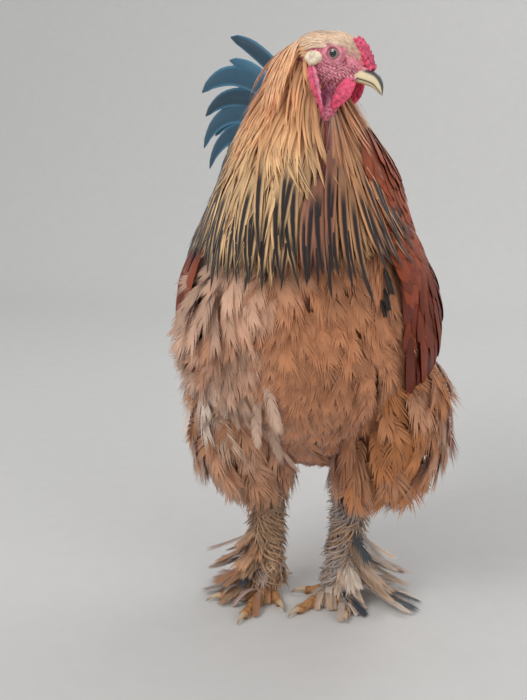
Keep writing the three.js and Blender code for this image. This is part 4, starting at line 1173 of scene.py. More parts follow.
class OBJECT_OT_brahma_horn(Make):
    """Upper and lower beak, and the claws"""
    bl_idname = "object.brahma_horn"
    bl_label = "Beak and claws"

    def beak(self, upper):
        rows, sign = (UPPER_BEAK, 1) if upper else (LOWER_BEAK, -1)
        t = np.linspace(0, len(rows) - 1, 60)
        share, height, width = row_at(rows, t).T
        height = height * (0.94 if upper else 0.5)
        middle = row_at(MOUTH, share * (len(MOUTH) - 1))
        angle = np.linspace(0, math.pi, 36)
        rise = np.sin(angle) ** 0.85
        rings = np.stack([
            np.broadcast_to(middle[:, 0:1], (60, 36)),
            width[:, None] * np.cos(angle),
            middle[:, 2:3] + sign * (0.24 + rise * height[:, None]),
        ], -1)
        points, faces = loft(rings)
        culmen = smooth((points[:, 2] - np.interp(points[:, 0], middle[:, 0], middle[:, 2])) * sign
                        / np.interp(points[:, 0], middle[:, 0], height), 0.55, 0.8)
        dark = culmen * smooth(points[:, 0], 24, 31) * (0.95 if upper else 0.2)
        gape = bump((points[:, 2] - np.interp(points[:, 0], middle[:, 0], middle[:, 2])) * sign, 0, 0.9)
        return points, faces, np.maximum(dark, 0.8 * gape)

    def build(self, plumage, flesh, coat):
        material = horn_finish("Beak horn", tuple(flesh.beak), tuple(flesh.beak_dark))
        for upper, name in ((True, "beak_upper"), (False, "beak_lower")):
            points, faces, dark = self.beak(upper)
            points, faces = joined([(from_head(points), faces)])
            piece = from_faces(f"horn_{name}", points, faces)
            paint(piece.data, "plumage", np.tile(tuple(flesh.beak), (len(points), 1)))
            paint(piece.data, "marks", np.stack([dark, 0 * dark, 0 * dark], -1))
            finish_piece(piece, material, "beak_horn", name)
        nail = horn_finish("Claw horn", tuple(flesh.claw), (0.05, 0.04, 0.035), 0.4)
        for leg in ANKLES:
            for toe, (_, reach, _) in TOES.items():
                heading = toe_heading(leg, toe)
                start = ANKLES[leg] * [1, 1, 0] + heading * (reach + 8 - 2.5) + Z * 5
                tip = start + heading * (CLAW_LENGTH + 4.3) - Z * 3.2
                bend = start + heading * 0.6 * (CLAW_LENGTH + 4.3) + Z * 3
                t = np.linspace(0, 1, 8)[:, None]
                curve = start * (1 - t) ** 2 + bend * 2 * t * (1 - t) + tip * t ** 2
                points, faces = joined([limb(curve, lambda s: mix(3.5, 0.5, s ** 1.3), 20, 30)])
                piece = from_faces(f"nail_{leg}_{toe}", points, faces)
                paint(piece.data, "plumage", np.tile(tuple(flesh.claw), (len(points), 1)))
                dark = smooth(np.linalg.norm(points - start, axis=1), 11, 18) * 0.5
                paint(piece.data, "marks", np.stack([dark, 0 * dark, 0 * dark], -1))
                finish_piece(piece, nail, "claw_horn", f"claw_{leg}_{toe}")


def skull_map(row, angle):
    return np.stack([row / 8 + 0.05, (angle / (2 * math.pi)) % 1], -1)


FACE_TURN, FACE_HALF = math.radians(66), math.radians(80)  # middle and half of the bare face, round the neck


class OBJECT_OT_brahma_crown(Make):
    """Fine feathers of the head: crown, forehead, and cheeks behind the eye"""
    bl_idname = "object.brahma_crown"
    bl_label = "Head feathers"

    def build(self, plumage, flesh, coat):
        rng = np.random.default_rng(101)

        def keep(row, angle):
            at = to_head(skull_place(row, angle))
            f, height = at[:, 0], at[:, 2]
            top = smooth(height - 0.12 * f, 5.4, 8.0)
            behind = smooth(-f, 18, 23) * smooth(height, -12, -6)
            ahead = smooth(f, 9, 13) * smooth(height, -3, 6) * (1 - smooth(f, 20, 27))
            return np.maximum(np.maximum(top, behind), ahead) * (f < 31)

        row, angle = SKULL.scatter(4200, (-0.3, 6.9), (0, 2 * math.pi), 11, keep)
        at = skull_place(row, angle)
        back = 1 - smooth(to_head(at)[:, 0], -34, 20)
        reach = mix(4.5, 34, back ** 1.4) * shares(0.75, 1.25, rng, len(row))
        slant = math.pi + 0.3 * ripple(at, 20, 12) + rng.normal(0, 0.08, len(row)) + 0.25 * np.cos(angle)
        out = shares(0.4, 1.4, rng, len(row)) + 1.6 * back
        path, normal = SKULL.lay(row, angle, reach, slant, lambda s, u, v: mix(-0.4, out[:, None], s ** 0.7), 5)
        hackle, crown = colour_array(plumage.hackle, plumage.crown)
        colour = blend_colours(crown, hackle, smooth(back + 0.25 * ripple(at, 18, 13), 0.5, 1.1) * 0.8)
        colour = colour * rng.uniform(0.78, 1.1, len(row))[:, None]
        face = smooth(to_head(at)[:, 0], 6, 14) * (1 - smooth(to_head(at)[:, 2], 0, 10))
        colour = blend_colours(colour, tuple(flesh.face), face * 0.5)
        tint = rng.random(len(row))
        piece = feathers("crown_feathers", path, normal, mix(0.9, 2.4, back), WISP, colour,
                         marks_of(0.0, 0.0, tint), skull_map(row, angle), 0.2, 0.1)
        material = plume_finish("Head plumage", tuple(plumage.stripe), 26.0, 0.62, 0.2, 0.3, None, 0.25)
        finish_piece(piece, material, "hackle_feathers")
        finish_piece(self.nape(plumage), material, "hackle_feathers")

    def nape(self, plumage):
        """Longer feathers that run from the back of the head on to the hackle."""
        rng = np.random.default_rng(131)

        def keep(row, angle):
            at = to_head(skull_place(row, angle))
            return smooth(-at[..., 0], 2, 12) * smooth(at[..., 2], -12, -4)

        row, angle = SKULL.scatter(2400, (0.15, 3.6), (-0.5, math.pi + 0.5), 17, keep)
        neck = trunk_place(np.array(0.0), np.array([0.5, 1.5]) * math.pi).mean(0)

        def turn_of(at):
            return np.arctan2(at[:, 0] - neck[0], neck[1] - at[:, 1])

        start = skull_place(row, angle)
        from_face = np.abs((turn_of(start) - FACE_TURN + math.pi) % (2 * math.pi) - math.pi)
        behind = from_face > FACE_HALF
        row, angle = row[behind], angle[behind]
        start, normal, _, _ = SKULL.frame(row, angle)
        turn = turn_of(start)
        u = rng.uniform(0.6, 1.7, len(row))
        end, end_normal, _, _ = TRUNK.frame(u, turn)
        lift = row_at(CAPE_LIFTS, u)[:, 0] * rng.uniform(0.8, 1.05, len(row)) + 1.5
        end = end + end_normal * lift[:, None]
        ahead = unit(SKULL.place(row - 0.1, angle) - start)
        down = unit(trunk_place(u + 0.1, turn) - trunk_place(u, turn))
        reach = np.linalg.norm(end - start, axis=1)[:, None]
        out = start + ahead * reach * 0.35 + normal * rng.uniform(1.0, 3.5, len(row))[:, None]
        back = end - down * reach * 0.35 + end_normal * 2.0
        t = np.linspace(0, 1, 8)[None, :, None]
        first, last = (start - normal * 0.4)[:, None], end[:, None]
        path = first * (1 - t) ** 3 + 3 * out[:, None] * t * (1 - t) ** 2 + 3 * back[:, None] * t ** 2 * (1 - t)
        path = path + last * t ** 3
        facing = unit(mix(normal[:, None], end_normal[:, None], t))
        crown, hackle = colour_array(plumage.crown, plumage.hackle)
        colour = blend_colours(crown, hackle, rng.uniform(0.1, 0.9, len(row)))[:, None] * np.ones((1, 8, 1))
        colour = blend_colours(colour, hackle, np.linspace(0, 0.8, 8)[None, :])
        colour = colour * rng.uniform(0.8, 1.08, (len(row), 1, 1))
        return feathers("nape_feathers", path, facing, rng.uniform(1.8, 3.4, len(row)), LANCE, colour,
                        marks_of(0.0, 0.0, rng.random(len(row))), skull_map(row, angle), 0.16, 0.15)


def hackle_tip(angle):
    back = (1 - np.cos(angle)) / 2
    return 4.24 + 1.1 * back ** 1.5 - 0.9 * bump(angle, 1.95, 0.5)


HACKLE_STRANDS = 36  # locks round the neck that the tips draw together into


def throat_line(u):
    """Angle of the middle of the parting below the throat, by ring."""
    return np.radians(mix(38, 8, smooth(u, 1.2, 4.0)))


def throat_gap(u, angle):
    """The bare throat between the lappets and the wattles, open above the second ring."""
    half = np.radians(mix(35, 6, smooth(u, 0.3, 1.7)))
    off = np.abs(angle - throat_line(u))
    return (1 - smooth(off, 0.85 * half, 1.05 * half)) * (1 - smooth(u, 1.4, 1.7))


class OBJECT_OT_brahma_hackle(Make):
    """Neck hackle: lancets from the nape down over the shoulders, parted at the throat"""
    bl_idname = "object.brahma_hackle"
    bl_label = "Hackle"

    def long_tips(self, plumage):
        """The longest lancets, each with a black middle and golden edges, apart from one another at the hem."""
        rng = np.random.default_rng(241)
        count = 132
        angle = (np.arange(count) + rng.uniform(-0.3, 0.3, count)) * 2 * math.pi / count - math.pi
        tips = hackle_tip(angle) + rng.uniform(-0.75, 0.05, count) + 0.3 * (np.arange(count) % 3 == 0)
        _, _, along, _ = TRUNK.frame(tips - 0.4, angle)
        reach = rng.uniform(62, 88, count)
        u = tips - reach / np.maximum(along, 20)
        sway = rng.normal(0, 0.06, count) - 0.2 * bump(angle - throat_line(u), 0, 0.5)

        def lift(s, uu, vv):
            cape = row_at(CAPE_LIFTS, np.clip(uu, 0, 6))[..., 0]
            return mix(0.6, 1.08, s ** 0.5) * cape + 1.8 * s

        path, normal = TRUNK.lay(u, angle, reach, sway, lift, 9, 0.12)
        low, sides, throat = colour_array(plumage.hackle_low, plumage.hackle_shoulder, plumage.throat)
        colour = blend_colours(low, sides, smooth(np.sin(angle), 0.1, 0.9) * 0.8)
        colour = blend_colours(colour, throat, bump(angle - throat_line(u), 0, 0.3) * 0.8)
        return feathers("hackle_tips", path, normal, rng.uniform(7.5, 10.5, count), LANCE, colour,
                        marks_of(1.0, 0.9, rng.random(count)), body_map(u * 2.2, angle), 0.16, 0.2)

    def layer(self, name, seed, count, rows, depth, narrow, short, plumage, coat):
        rng = np.random.default_rng(seed)

        def keep(u, angle):
            return np.clip(1.2 - 3 * throat_gap(u, angle), 0, 1) * (u < hackle_tip(angle) - 0.3)

        u, angle = TRUNK.scatter(count, rows, (-math.pi, math.pi), seed, keep)
        at, _, along, _ = TRUNK.frame(u, angle)
        pitch = 2 * math.pi / HACKLE_STRANDS
        strand = np.floor(angle / pitch).astype(int) % HACKLE_STRANDS
        centre = (np.floor(angle / pitch) + 0.5) * pitch + rng.normal(0, 0.12 * pitch, HACKLE_STRANDS)[strand]
        spare = np.random.default_rng(29).uniform(-0.3, 0.36, HACKLE_STRANDS)[strand]
        aside_of = smooth(np.abs(centre - angle) / pitch, 0.15, 0.45)
        limit = (hackle_tip(angle) + 0.5 * spare - short - 0.34 * aside_of - u) * np.maximum(along, 20)
        reach = coat.hackle_length / MM * mix(0.4, 1.15, smooth(u, -0.1, 2.6)) * shares(0.75, 1.15, rng, len(u))
        reach = np.minimum(reach, limit * shares(0.82, 1.0, rng, len(u)))
        off = angle - throat_line(u)
        beside = np.where(off > 0, -0.34 * smooth(u, 0.6, 1.6), mix(-0.12, -0.3, smooth(u, 0.7, 2.0)))
        turn = beside * bump(off, 0, 0.65)
        aside = np.sin(angle) * 0.12
        slant = turn + aside + 0.16 * ripple(at, 38, seed + 2) + rng.normal(0, 0.035, len(u))
        stand = (shares(0.74, 1.0, rng, len(u)) + 0.1 * (1 - aside_of)) * depth
        loose = 2.4 * ripple(at, 14, seed + 4)
        parted = 1 - 0.45 * bump(off, 0, 0.28)

        def lift(s, uu, vv):
            cape = row_at(CAPE_LIFTS, np.clip(uu, 0, 6))[..., 0] * parted[:, None]
            cape = cape + 4.0 * bump(uu, 1.3, 0.9) * bump(vv, 1.35, 0.5)
            grown = np.clip((uu - u[:, None]) / 1.8, 0, 1) ** 0.8
            return mix(1.0, cape * stand[:, None] + loose[:, None] * s, grown) + 1.2 * s

        drawn = (centre - angle) * 0.8 * smooth(u + reach / np.maximum(along, 20), 1.0, 3.4)
        path, normal = TRUNK.lay(u, angle, reach, slant, lift, 6, 0.1, drawn)
        hackle, sides, low, throat = colour_array(
            plumage.hackle, plumage.hackle_shoulder, plumage.hackle_low, plumage.throat)
        side = smooth(np.sin(angle) + 0.3 * ripple(at, 40, 8), 0.15, 0.9)
        top = blend_colours(hackle, sides, side * 0.8)
        bottom = blend_colours(low, blend_colours(low, sides, 0.6), side)
        height = u[:, None] + np.linspace(0, 1, 6)[None, :] * (reach / np.maximum(along, 20))[:, None]
        colour = blend_colours(top[:, None], bottom[:, None], smooth(height, 1.2, 3.2))
        near = bump(off - 0.06, 0, 0.22 + 0.12 * smooth(u, 1.5, 3.0)) * smooth(u, 0.9, 1.6)
        colour = blend_colours(colour, throat, np.clip(near * 1.1 * (0.5 + 0.7 * rng.random(len(u))), 0, 1)[:, None])
        grey = bump(u, 1.5, 0.3) * bump(angle, 0.9, 0.12)
        colour = blend_colours(colour, tuple(plumage.cream), 0.7 * grey[:, None] * np.linspace(1, 0, 6) ** 4)
        tips = u + reach / np.maximum(along, 20)
        tint = rng.random(len(u))
        middle = 1 - smooth(np.abs(centre - angle) / pitch, 0.1, 0.24)
        black = (np.random.default_rng(31).random(HACKLE_STRANDS) < 0.75)[strand]
        streak = smooth(tips, 2.2, 3.6) * (middle * black * 0.8 + 0.12) * (1 - 0.6 * near)
        tip = smooth(tips, 3.6, 4.2) * middle * black * (rng.random(len(u)) < 0.3)
        width = coat.hackle_width / MM * mix(0.34, 1.0, smooth(tips, 1.0, 4.2)) * shares(0.6, 1.0, rng, len(u))
        width = width * (1 + 0.1 * streak)
        return feathers(name, path, normal, width * narrow, LANCE, colour, marks_of(streak, tip, tint),
                        body_map(u * 2.2, angle), 0.16, 0.2)

    def build(self, plumage, flesh, coat):
        material = plume_finish("Hackle plumage", tuple(plumage.stripe), 30.0, 0.5, 0.3)
        finish_piece(self.long_tips(plumage), material, "hackle_feathers")
        lower = self.layer("hackle_under", 211, coat.hackle_count, (1.0, 4.8), 0.82, 1.0, 0.62, plumage, coat)
        outer = self.layer("hackle_outer", 223, coat.hackle_count, (-0.3, 3.7), 1.0, 0.8, 0.0, plumage, coat)
        finish_piece(lower, material, "hackle_feathers")
        finish_piece(outer, material, "hackle_feathers", "neck")


# single feathers beside the left wing: ring, angle, length, width, and whether dark
SINGLE_FEATHERS = [(4.34, 0.99, 20, 12, 1), (4.62, 0.90, 15, 9, 1), (4.74, 0.84, 12, 7, 1)]


class OBJECT_OT_brahma_breast(Make):
    """Body feathers of the breast, belly and back in ragged tufts"""
    bl_idname = "object.brahma_breast"
    bl_label = "Breast and body"

    def region(self, name, seed, count, rows, turns, keep, coat, scale=1.0, lumps=1.6):
        rng = np.random.default_rng(seed)
        u, angle = TRUNK.scatter(count, rows, turns, seed, keep, True)
        at = trunk_place(u, angle)
        big = shares(0.8, 1.2, rng, len(u)) * scale
        lean = 0.4 * ripple(at, 80, seed + 1, 2) + rng.normal(0, 0.1, len(u))
        reach = coat.contour_length / MM * big
        wing_edge = bump(np.abs(angle), 1.0, 0.26) * smooth(u, 4.2, 5.2) * (1 - smooth(u, 7.4, 8.2))
        over_wing = bump(angle, -0.98, 0.4) * smooth(angle, -1.28, -1.08) * smooth(u, 3.9, 4.7) * (1 - smooth(u, 6.2, 7.2))
        puff = 1.5 + lumps * ripple(at, 60, seed + 3, 1) + rng.normal(0, 0.3, len(u)) + 5.0 * wing_edge
        puff = puff + 11.0 * over_wing

        def lift(s, uu, vv):
            return mix(-2.4, puff[:, None], s ** 0.8)

        path, normal = TRUNK.lay(u, angle, reach, lean, lift, 8)
        colour = trunk_colour(u, angle) * (0.97 + 0.06 * rng.random(len(u)))[:, None]
        marks = marks_of(0.0, 0.0, rng.random(len(u)))
        return plumes(name, path, normal, coat.contour_width / MM * big, colour, marks, body_map(u, angle), rng,
                      15, 1.3 * coat.barb_width / MM * scale, 60, 0.07)

    def build(self, plumage, flesh, coat):
        material = plume_finish("Body plumage", tuple(plumage.stripe), 6.0, 0.7, 0.3, 0.1, None, 0.1)

        def front(u, angle):
            return (u > hackle_tip(angle) - 1.3) * smooth(np.cos(angle) + 0.5 * smooth(u, 5.6, 7), -0.35, 0.05)

        def rear(u, angle):
            return (u > hackle_tip(angle) - 0.9) * smooth(-np.cos(angle), -0.1, 0.25) * (u < 9.5)

        count = coat.breast_count
        right = self.region("breast_right", 307, count, (3.2, 7.6), (-1.9, 0.0), front, coat)
        left = self.region("breast_left", 309, count, (3.2, 7.6), (-0.1, 1.9), front, coat)
        belly = self.region("belly_feathers", 311, count, (6.8, 11.9), (-2.3, 2.3), front, coat, 1.35, 2.5)
        back = self.region("back_feathers", 313, int(count * 0.45), (3.4, 12.0), (0.5 * math.pi, 1.5 * math.pi),
                           rear, coat, 1.2)
        for piece in (right, left, belly, back, self.loose_ones(plumage, coat)):
            finish_piece(piece, material, "body_feathers")
        smooth_ones = plume_finish("Shoulder plumage", tuple(plumage.stripe), 40.0, 0.55, 0.1, 0.4)
        finish_piece(self.shoulder(plumage), smooth_ones, "wing_feathers")

    def loose_ones(self, plumage, coat):
        """Long loose feathers that hang from the right side of the breast, and pale tufts above the right thigh."""
        rng = np.random.default_rng(331)
        angle = np.radians(np.concatenate([mix(-46, -12, rng.random(34)), mix(-82, -60, rng.random(12))]))
        u = np.concatenate([mix(5.2, 7.3, rng.random(34)), mix(6.1, 6.9, rng.random(12))])
        reach = np.concatenate([mix(46, 78, rng.random(34)), mix(34, 48, rng.random(12))])
        lean = rng.normal(-0.1, 0.16, len(u))
        out = rng.uniform(4, 9, len(u))
        path, normal = TRUNK.lay(u, angle, reach, lean, lambda s, a, b: mix(-3.0, out[:, None], s ** 0.7), 8)
        path[..., 2] -= 10 * np.linspace(0, 1, 8)[None, :] ** 2
        pale, cream, dark = colour_array(plumage.breast_pale, plumage.cream, plumage.stripe)
        colour = blend_colours(pale, cream, np.where(np.arange(len(u)) < 34, 0.15, 0.9) * rng.uniform(0.7, 1, len(u)))
        ring, turn, size, broad, is_dark = np.array(SINGLE_FEATHERS, float).T
        single, facing = TRUNK.lay(ring, turn, size, 0 * ring - 0.3, lambda s, a, b: mix(4.0, 8.5, s) + 0 * a, 8)
        path, normal = np.concatenate([path, single]), np.concatenate([normal, facing])
        width = np.concatenate([rng.uniform(13, 21, len(u)), broad])
        colour = np.concatenate([colour, blend_colours(cream, dark, is_dark)])
        maps = np.concatenate([body_map(u, angle), body_map(ring, turn)])
        return plumes("loose_feathers", path, normal, width, colour, marks_of(0.0, 0.0, rng.random(len(width))), maps,
                      rng, 30, 1.6, 42, 0.14)

    def shoulder(self, plumage):
        """Broad smooth feathers of the left shoulder, seen beside the hackle, and their like on the right."""
        rng = np.random.default_rng(341)
        u, angle = TRUNK.scatter(340, (1.9, 5.2), (1.15, 2.7), 341, None, True)
        side = np.where((np.arange(len(u)) % 4 == 3) & (u > 4.2), -1.0, 1.0)
        angle = angle * side
        raised = bump(np.abs(angle), 1.95, 0.42) * (side > 0)

        def lift(s, a, b):
            cape = row_at(CAPE_LIFTS, np.clip(a, 0, 6))[..., 0] * 0.75
            high = 14 * bump(a, 3.1, 1.2) * raised[:, None]
            return (cape + high) * (1 - smooth(a, 4.6, 6.2)) + mix(-2, 3.0, s ** 0.6) + 6 * smooth(a, 4.6, 6.2)

        lean = -0.1 * side + rng.normal(0, 0.08, len(u))
        path, normal = TRUNK.lay(u, angle, rng.uniform(36, 52, len(u)), lean, lift, 8)
        wing, orange = colour_array(plumage.wing, plumage.wing_orange)
        colour = blend_colours(orange, wing, smooth(u + rng.uniform(-0.4, 0.4, len(u)), 3.0, 5.6) * 0.8)
        dark = 0.8 * (rng.random(len(u)) < 0.05)
        return feathers("shoulder_feathers", path, normal, rng.uniform(15, 21, len(u)), ROUND, colour,
                        marks_of(0.0, dark, rng.random(len(u))), body_map(u, angle), 0.06, 0.1, 5)


class OBJECT_OT_brahma_thighs(Make):
    """Loose fluff of the thighs in rounded clumps"""
    bl_idname = "object.brahma_thighs"
    bl_label = "Thighs"

    def build(self, plumage, flesh, coat):
        material = plume_finish("Fluff", tuple(plumage.stripe), 6.0, 0.75, 0.4, 0.1, None, 0.1)
        for leg, surface in THIGHS.items():
            seed = 401 if leg == "left" else 409
            rng = np.random.default_rng(seed)
            s, angle = surface.scatter(coat.fluff_count, (0.0, 0.99), (-math.pi, math.pi), seed, None, True)
            at = surface.place(s, angle)
            lean = 0.6 * ripple(at, 60, seed + 1, 2) + rng.normal(0, 0.2, len(s))
            size = shares(0.75, 1.25, rng, len(s)) * mix(1.1, 0.75, smooth(s, 0.6, 1))
            reach = coat.fluff_length / MM * size
            puff = 2.0 + 3.0 * ripple(at, 55, seed + 3, 1) + rng.normal(0, 1.0, len(s))
            path, normal = surface.lay(s, angle, reach, lean, lambda t, a, b, puff=puff: mix(
                -6.0, puff[:, None], t ** 0.8), 8)
            path[..., 2] -= 7 * np.linspace(0, 1, 8)[None, :] ** 2
            colour = thigh_colour(leg, at) * (0.93 + 0.14 * rng.random(len(s)))[:, None]
            piece = plumes(f"thigh_fluff_{leg}", path, normal, coat.fluff_width / MM * size, colour,
                           marks_of(0.0, 0.0, rng.random(len(s))), body_map(s * 11, angle), rng,
                           20, coat.barb_width / MM * 1.3, 60, 0.14)
            finish_piece(piece, material, "body_feathers")


class OBJECT_OT_brahma_wings(Make):
    """Folded wings: small, middle and great coverts over the flight feathers"""
    bl_idname = "object.brahma_wings"
    bl_label = "Wings"
    # count, rows, root and tip shares, width, height, spread, droop
    tiers = [
        (9, 1, 0.40, 0.86, 34, 1.2, 0.8, -0.10),
        (12, 1, 0.28, 0.82, 32, 2.8, 0.9, -0.12),
        (11, 1, 0.22, 0.80, 26, 4.2, 0.88, -0.08),
        (10, 2, 0.14, 0.58, 24, 5.6, 0.85, -0.05),
        (9, 4, 0.00, 0.26, 22, 7.0, 0.85, -0.03),
    ]

    def build(self, plumage, flesh, coat):
        material = plume_finish("Wing plumage", tuple(plumage.stripe), 44.0, 0.55, 0.0, 0.5)
        wing, orange, buff = colour_array(plumage.wing, plumage.wing_orange, plumage.breast)
        for name, surface in WINGS.items():
            rng = np.random.default_rng(503)
            paths, normals, widths, colours, marks, maps = [], [], [], [], [], []
            stations = np.linspace(0, 1, 14)[None, :]
            for count, rows, root, tip, width, height, spread, droop in self.tiers:
                for row in range(rows):
                    shift = row / rows * 0.62 * (tip - root)
                    b = (np.linspace(-1, 1, count) + 0.5 * (row % 2) * 2 / count) * spread
                    b = b + rng.normal(0, 0.02, count)
                    start = root + shift + 0 * b
                    end = tip + shift * (1 if rows > 1 else 0) - 0.10 * np.abs(b + 0.3) + rng.normal(0, 0.012, count)
                    a = mix(start[:, None], end[:, None], stations)
                    across = mix(b[:, None] * 0.85, (b + droop)[:, None], stations)
                    at, normal, _, _ = surface.frame(a, across)
                    over = mix(-4.0, height, smooth(stations, -0.05, 0.3)) + (np.arange(count) % 2)[:, None]
                    over = over - 0.6 * row
                    paths.append(at + normal * over[..., None])
                    tangent = unit(np.gradient(at, axis=1))
                    tilt = np.cross(normal, tangent)
                    normals.append(unit(normal + 0.2 * tilt))
                    widths.append(width * rng.uniform(0.9, 1.1, count))
                    shoulder = smooth(-start + 0.25 * rng.random(count), -0.28, 0.0)
                    colours.append(blend_colours(wing, orange, np.clip(shoulder * 0.5, 0, 1)))
                    flight = 0.75 if height < 4 else 0.1
                    marks.append(marks_of(flight * (rng.random(count) < 0.6), 0.3, rng.random(count)))
                    maps.append(np.stack([mix(0.1, 0.9, start), mix(0.1, 0.9, b * 0.5 + 0.5)], -1))
            path, normal = np.concatenate(paths), np.concatenate(normals)
            piece = feathers(f"wing_feathers_{name}", path, normal, np.concatenate(widths), ROUND,
                             np.concatenate(colours), np.concatenate(marks), np.concatenate(maps), 0.06, 0.12, 7)
            finish_piece(piece, material, "wing_feathers", f"wing_{name}")


class OBJECT_OT_brahma_saddle(Make):
    """Saddle hackle: lancets over the back towards the tail and down the flanks"""
    bl_idname = "object.brahma_saddle"
    bl_label = "Saddle"

    def build(self, plumage, flesh, coat):
        rng = np.random.default_rng(601)

        def keep(u, angle):
            return smooth(-np.cos(angle), 0.15, 0.45)

        u, angle = TRUNK.scatter(int(coat.hackle_count * 0.62), (6.3, 10.6), (0.5 * math.pi, 1.5 * math.pi), 601, keep)
        at, _, along, _ = TRUNK.frame(u, angle)
        limit = (11.1 - u) * np.maximum(along, 15)
        reach = np.minimum(coat.hackle_length / MM * shares(0.6, 1.0, rng, len(u)), limit)
        outward = -np.sin(angle)
        slant = -0.5 * outward + 0.2 * ripple(at, 30, 602) + rng.normal(0, 0.06, len(u))
        high = shares(2.5, 8.5, rng, len(u))
        path, normal = TRUNK.lay(u, angle, reach, slant, lambda s, a, b: mix(-2.0, high[:, None], s ** 0.6), 7, 0.1)
        saddle, hackle = colour_array(plumage.saddle, plumage.hackle_shoulder)
        colour = blend_colours(saddle, hackle, rng.random(len(u)) * 0.7)
        tint = rng.random(len(u))
        streak = 0.75 * (rng.random(len(u)) < 0.55)
        width = coat.hackle_width / MM * shares(0.6, 1.0, rng, len(u)) * 0.8
        piece = feathers("saddle_lancets", path, normal, width, LANCE, colour, marks_of(streak, streak * 0.7, tint),
                         body_map(u, angle), 0.16, 0.2)
        finish_piece(piece, plume_finish("Saddle plumage", tuple(plumage.stripe), 30.0, 0.5, 0.3),
                     "saddle_feathers", "saddle")


TAIL_SLOPE = {"left": math.radians(16), "right": math.radians(44)}
TAIL_LEAN, TAIL_RAKE, TAIL_STEP = math.radians(-20), math.radians(18), 2.6
SICKLE = [[0, 0.3], [0.2, 0.8], [0.42, 1], [0.66, 1], [0.86, 0.8], [0.96, 0.45], [1, 0.08]]


def tail_place(name, up, out, over):
    side, slope = (1, TAIL_SLOPE[name]) if name == "left" else (-1, TAIL_SLOPE[name])
    ridge = np.array([0, math.sin(TAIL_RAKE), math.cos(TAIL_RAKE)])
    behind = np.array([0, math.cos(TAIL_RAKE), -math.sin(TAIL_RAKE)])
    height = over + 0.0009 * (up ** 2 + out ** 2)
    at = np.array([side * 2.0, 0, 0]) + ridge * up[..., None]
    at = at + behind * (out * math.cos(slope) - height * math.sin(slope))[..., None]
    at = at + np.array([1.0, 0, 0]) * (side * (out * math.sin(slope) + height * math.cos(slope)))[..., None]
    lean = np.broadcast_to(np.array([0.0, 1.0, 0.0]), at.shape)
    return turned(at, lean, np.full(at.shape[:-1], TAIL_LEAN)) + TAIL_ROOT


class OBJECT_OT_brahma_tail(Make):
    """Tail: main feathers, sickles and coverts on both sides of the ridge"""
    bl_idname = "object.brahma_tail"
    bl_label = "Tail"

    def feather(self, name, over, begin, end, length, start, stations=26):
        fine = 52
        heading = np.radians(mix(begin, end, ((np.arange(fine) + 0.5) / fine) ** 1.8))
        first = math.radians(begin)
        up = start * math.cos(first) + np.concatenate([[0], np.cumsum(np.cos(heading)) * length / fine])
        out = start * math.sin(first) + np.concatenate([[0], np.cumsum(np.sin(heading)) * length / fine])
        pick = np.linspace(0, fine, stations)
        up, out = np.interp(pick, np.arange(fine + 1), up), np.interp(pick, np.arange(fine + 1), out)
        at = tail_place(name, up, out, over)
        outward = tail_place(name, up, out, over + 1.0) - at
        return at, outward

    def build(self, plumage, flesh, coat):
        rng = np.random.default_rng(701)
        paths, normals, widths, maps = [], [], [], []
        for name in ("right", "left"):
            rows = []
            for k in (4, 3.5, 3, 2.5, 2, 1.5, 1, 0.5, 0):
                rows.append((4 + 16 * k, 10 + 18 * k, 158 - 9 * k, 27, 8))
            for k, (begin, end, length, width) in enumerate(SICKLES[name]):
                rows.append((begin, end, length, width, 8))
                rows.append((begin + 8, end + 5, length * 0.93, width * 0.9, 8))
                rows.append((begin + 13, end + 11, length * 0.84, width * 0.85, 8))
                rows.append((begin + 18, end + 18, length * 0.74, width * 0.8, 8))
            for k in (2.5, 2, 1.5, 1, 0.5, 0):
                rows.append((6 + 34 * k * 0.8, 38 + 38 * k * 0.8, 92 + 4 * k, 30, 4))
            step = TAIL_STEP * 12 / len(rows)
            for k, (begin, end, length, width, start) in enumerate(rows):
                at, outward = self.feather(name, k * step, begin, end, length, start)
                paths.append(at)
                normals.append(outward)
                widths.append(width)
                maps.append([0.1 + 0.8 * k / len(rows), 0.3 if name == "left" else 0.7])
        count = len(paths)
        tail, gloss = colour_array(plumage.tail, plumage.tail_gloss)
        tint = rng.random(count)
        # Painted sheen: each feather's colour takes up to half of the gloss colour.
        colour = blend_colours(tail, gloss, tint * 0.5)
        piece = feathers("tail_feathers", np.array(paths), unit(np.array(normals)), np.array(widths, float), SICKLE,
                         colour, marks_of(0.0, 0.0, tint), np.array(maps), 0.05, 0.16, 9)
        finish_piece(piece, plume_finish("Tail plumage", tuple(plumage.stripe), 60.0, 0.35, 0.1, 0.5,
                                         tuple(plumage.tail_gloss)), "tail_feathers", "tail")


